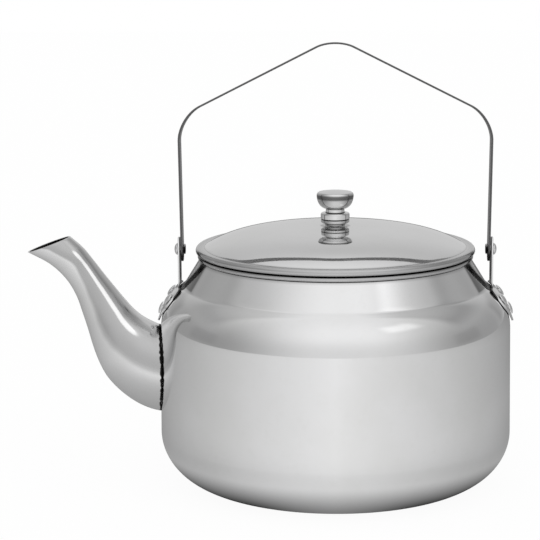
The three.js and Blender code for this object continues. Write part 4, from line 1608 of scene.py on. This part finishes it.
    def floor(self) -> None:
        """Lays the floor, which goes white where the camera sees it without a shadow, and glows with
        painted light and shadow for every other ray.
        """
        mesh = bmesh.new()
        place = Matrix.Translation((0, 0, -self.floor_gap))
        bmesh.ops.create_grid(mesh, x_segments=1, y_segments=1, size=self.floor_reach, matrix=place)
        floor = piece_of(mesh, "floor")
        material = bpy.data.materials.new("painted glow floor")
        material.use_nodes = True
        tree = Tree(material.node_tree)
        tone = self.painted_floor_light(tree)
        colour = tree.add("CombineColor", {0: tone, 1: tone, 2: tone})
        # the floor's painted light and shadow, which it glows with for every ray except the camera's
        pale = tree.add("Emission", {"Color": colour.outputs[0], "Strength": 1.0})
        white = tree.add("Emission", {"Color": (1, 1, 1, 1), "Strength": self.floor_white})
        shade_tone = (self.floor_shade, self.floor_shade, self.floor_shade, 1)
        shadow = tree.add("BsdfDiffuse", {"Color": shade_tone})
        shown = tree.add("AddShader", {0: white.outputs[0], 1: shadow.outputs[0]})
        seen = tree.add("LightPath").outputs["Is Camera Ray"]
        both = tree.add("MixShader", {0: seen, 1: pale.outputs[0], 2: shown.outputs[0]})
        tree.add("OutputMaterial", {"Surface": both.outputs[0]})
        floor.data.materials.append(material)


def body_steel(body: Body, shut: Ring, seam: Seam) -> SteelFinish:
    """Chooses the steel of the body, with painted shade in its creases, on its bead and at its seams, dull
    inside, and a painted dark wedge behind the ears.

    Args:
        body: The body.
        shut: The line where it meets the lid.
        seam: Its side of the spout's seam.

    Returns:
        The finish.
    """
    # painted shade in the crease under the bead, and a broad, lighter one on the bead
    crease = Ring(body.neck_radius, body.neck_top + 0.4 * MM, reach=1.1 * MM)
    bead = Ring(body.neck_radius, body.bead_height, reach=4 * MM, darkness=0.35)
    # dulled only, with no painted shade
    inner = DullAndShadedInward((0.0, 0.0, body.wall_height), reach=0.3, darkness=0.0)
    # the painted dark wedge behind each ear
    wedge_shade = Stain(body.cone_base + 0.4 * MM, body.neck_top)
    layers = (PaintedShade((shut, crease, bead, seam)), inner, wedge_shade)
    return SteelFinish(
        "spun body steel", "body_steel", Working.SPUN, roughness=0.045, film=0.02, layers=layers
    )


def spout_steel(spout: Spout) -> SteelFinish:
    """Chooses the steel of the spout, with a dark joint and painted shadow at its seam, and painted shade
    in its mouth and on its flanks.
    """
    # painted shade inside the bore near the mouth
    mouth = DullAndShadedInward(spout.mouth_inside, reach=30 * MM, darkness=1.0)
    layers = (PaintedShade((spout.seam(joins_wall=False),)), mouth, PaintedFlankShade(darkness=0.38))
    return SteelFinish("drawn spout steel", "spout_steel", Working.PLAIN, roughness=0.11, layers=layers)


def lid_steel(lid: Lid, knob: Knob, shut: Ring) -> SteelFinish:
    """Chooses the steel of the lid, with painted shade in its crease, round its curl and under the knob.

    Args:
        lid: The lid.
        knob: Its knob.
        shut: The line where it meets the body.

    Returns:
        The finish.
    """
    # painted shade in the crease, on the lower curl above the bead, and round the knob's foot
    crease = Ring(lid.crease_radius, lid.crease_height, reach=0.45 * MM, darkness=0.4)
    curl = Ring(lid.curl_middle, lid.curl_height, reach=5.5 * MM, darkness=0.36)
    under_knob = Ring(knob.foot_radius + 1.5 * MM, lid.apex, reach=2.2 * MM, darkness=0.5)
    layers = (PaintedShade((shut, crease, curl, under_knob)),)
    return SteelFinish(
        "spun lid steel", "lid_steel", Working.SPUN, roughness=0.035, film=0.02, layers=layers
    )


def knob_steel(knob: Knob) -> SteelFinish:
    """Chooses the steel of the knob, which is turned and bright, with painted shade in its creases."""
    return SteelFinish(
        "turned knob steel", "knob_steel", Working.SPUN, tone=0.74, roughness=0.015, film=0.01,
        scratch=0.02, wave_depth=0.0, layers=(PaintedShade(knob.creases()),),
    )


def bail_steel(bail: Bail) -> SteelFinish:
    """Chooses the steel of the bail, with painted shade at its pivots, on its dulled inner faces and on its
    rougher cut edges.
    """
    pivot = bail.ears.pivot_height
    # painted shade round the pivots, on the inner faces and on the cut edges
    joint = Ring(bail.leg_face, pivot - 5 * MM, reach=5 * MM, darkness=0.8)
    inner = DullAndShadedInward((0.0, 0.0, pivot + 30 * MM), reach=1.0, darkness=0.42)
    layers = (PaintedShade((joint,)), inner, RoughShadedEdges(darkness=0.85))
    return SteelFinish("drawn bail steel", "bail_steel", Working.DRAWN, roughness=0.16, layers=layers)


def ear_steel(ears: Ears) -> SteelFinish:
    """Chooses the steel of the ears, whose inner faces are dulled and painted dark as shade."""
    inner = DullAndShadedInward((0.0, 0.0, ears.pivot_height), reach=1.0, darkness=0.9)
    return SteelFinish("pressed ear steel", "ear_steel", Working.PLAIN, roughness=0.1, layers=(inner,))


def rivet_steel(bail: Bail) -> SteelFinish:
    """Chooses the steel of the rivets, with painted shade at the inner ends of the pivots."""
    end = Ring(bail.leg_face - STRIP - 1 * MM, bail.ears.pivot_height, reach=3.6 * MM)
    layers = (PaintedShade((end,)),)
    return SteelFinish("headed rivet steel", "rivet_steel", Working.PLAIN, roughness=0.12, layers=layers)


def main() -> None:
    """Builds the kettle round its frame, the studio and the camera."""
    logging.basicConfig(level=logging.INFO, format="%(name)s: %(message)s")
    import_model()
    bpy.context.scene.view_settings.view_transform = "Standard"
    studio = Studio()
    studio.camera()
    studio.light()
    studio.floor()
    body = Body()
    spout = Spout(body)
    lid = Lid(body)
    ears = Ears(body)
    bail = Bail(ears)
    knob = Knob(lid)
    # painted shade where the lid's curl meets the body's bead, on both pieces
    shut = Ring(lid.curl_middle, lid.curl_height - lid.curl_radius, reach=2.0 * MM)
    holes = [*body.strainer(spout.root_middle), *ears.body_holes()]
    body.build(body_steel(body, shut, spout.seam(joins_wall=True)), holes)
    studio.lamp(spout.build(spout_steel(spout)))
    skirt = SteelFinish("plain skirt steel", "skirt_steel", Working.PLAIN, roughness=0.24)
    screw = SteelFinish("plain screw steel", "screw_steel", Working.PLAIN, roughness=0.2)
    lid.build(lid_steel(lid, knob, shut), skirt, screw)
    knob.build(knob_steel(knob))
    bail.build(bail_steel(bail))
    ears.build(ear_steel(ears), rivet_steel(bail), bail.leg_face - STRIP)


if __name__ == "__main__":
    main()
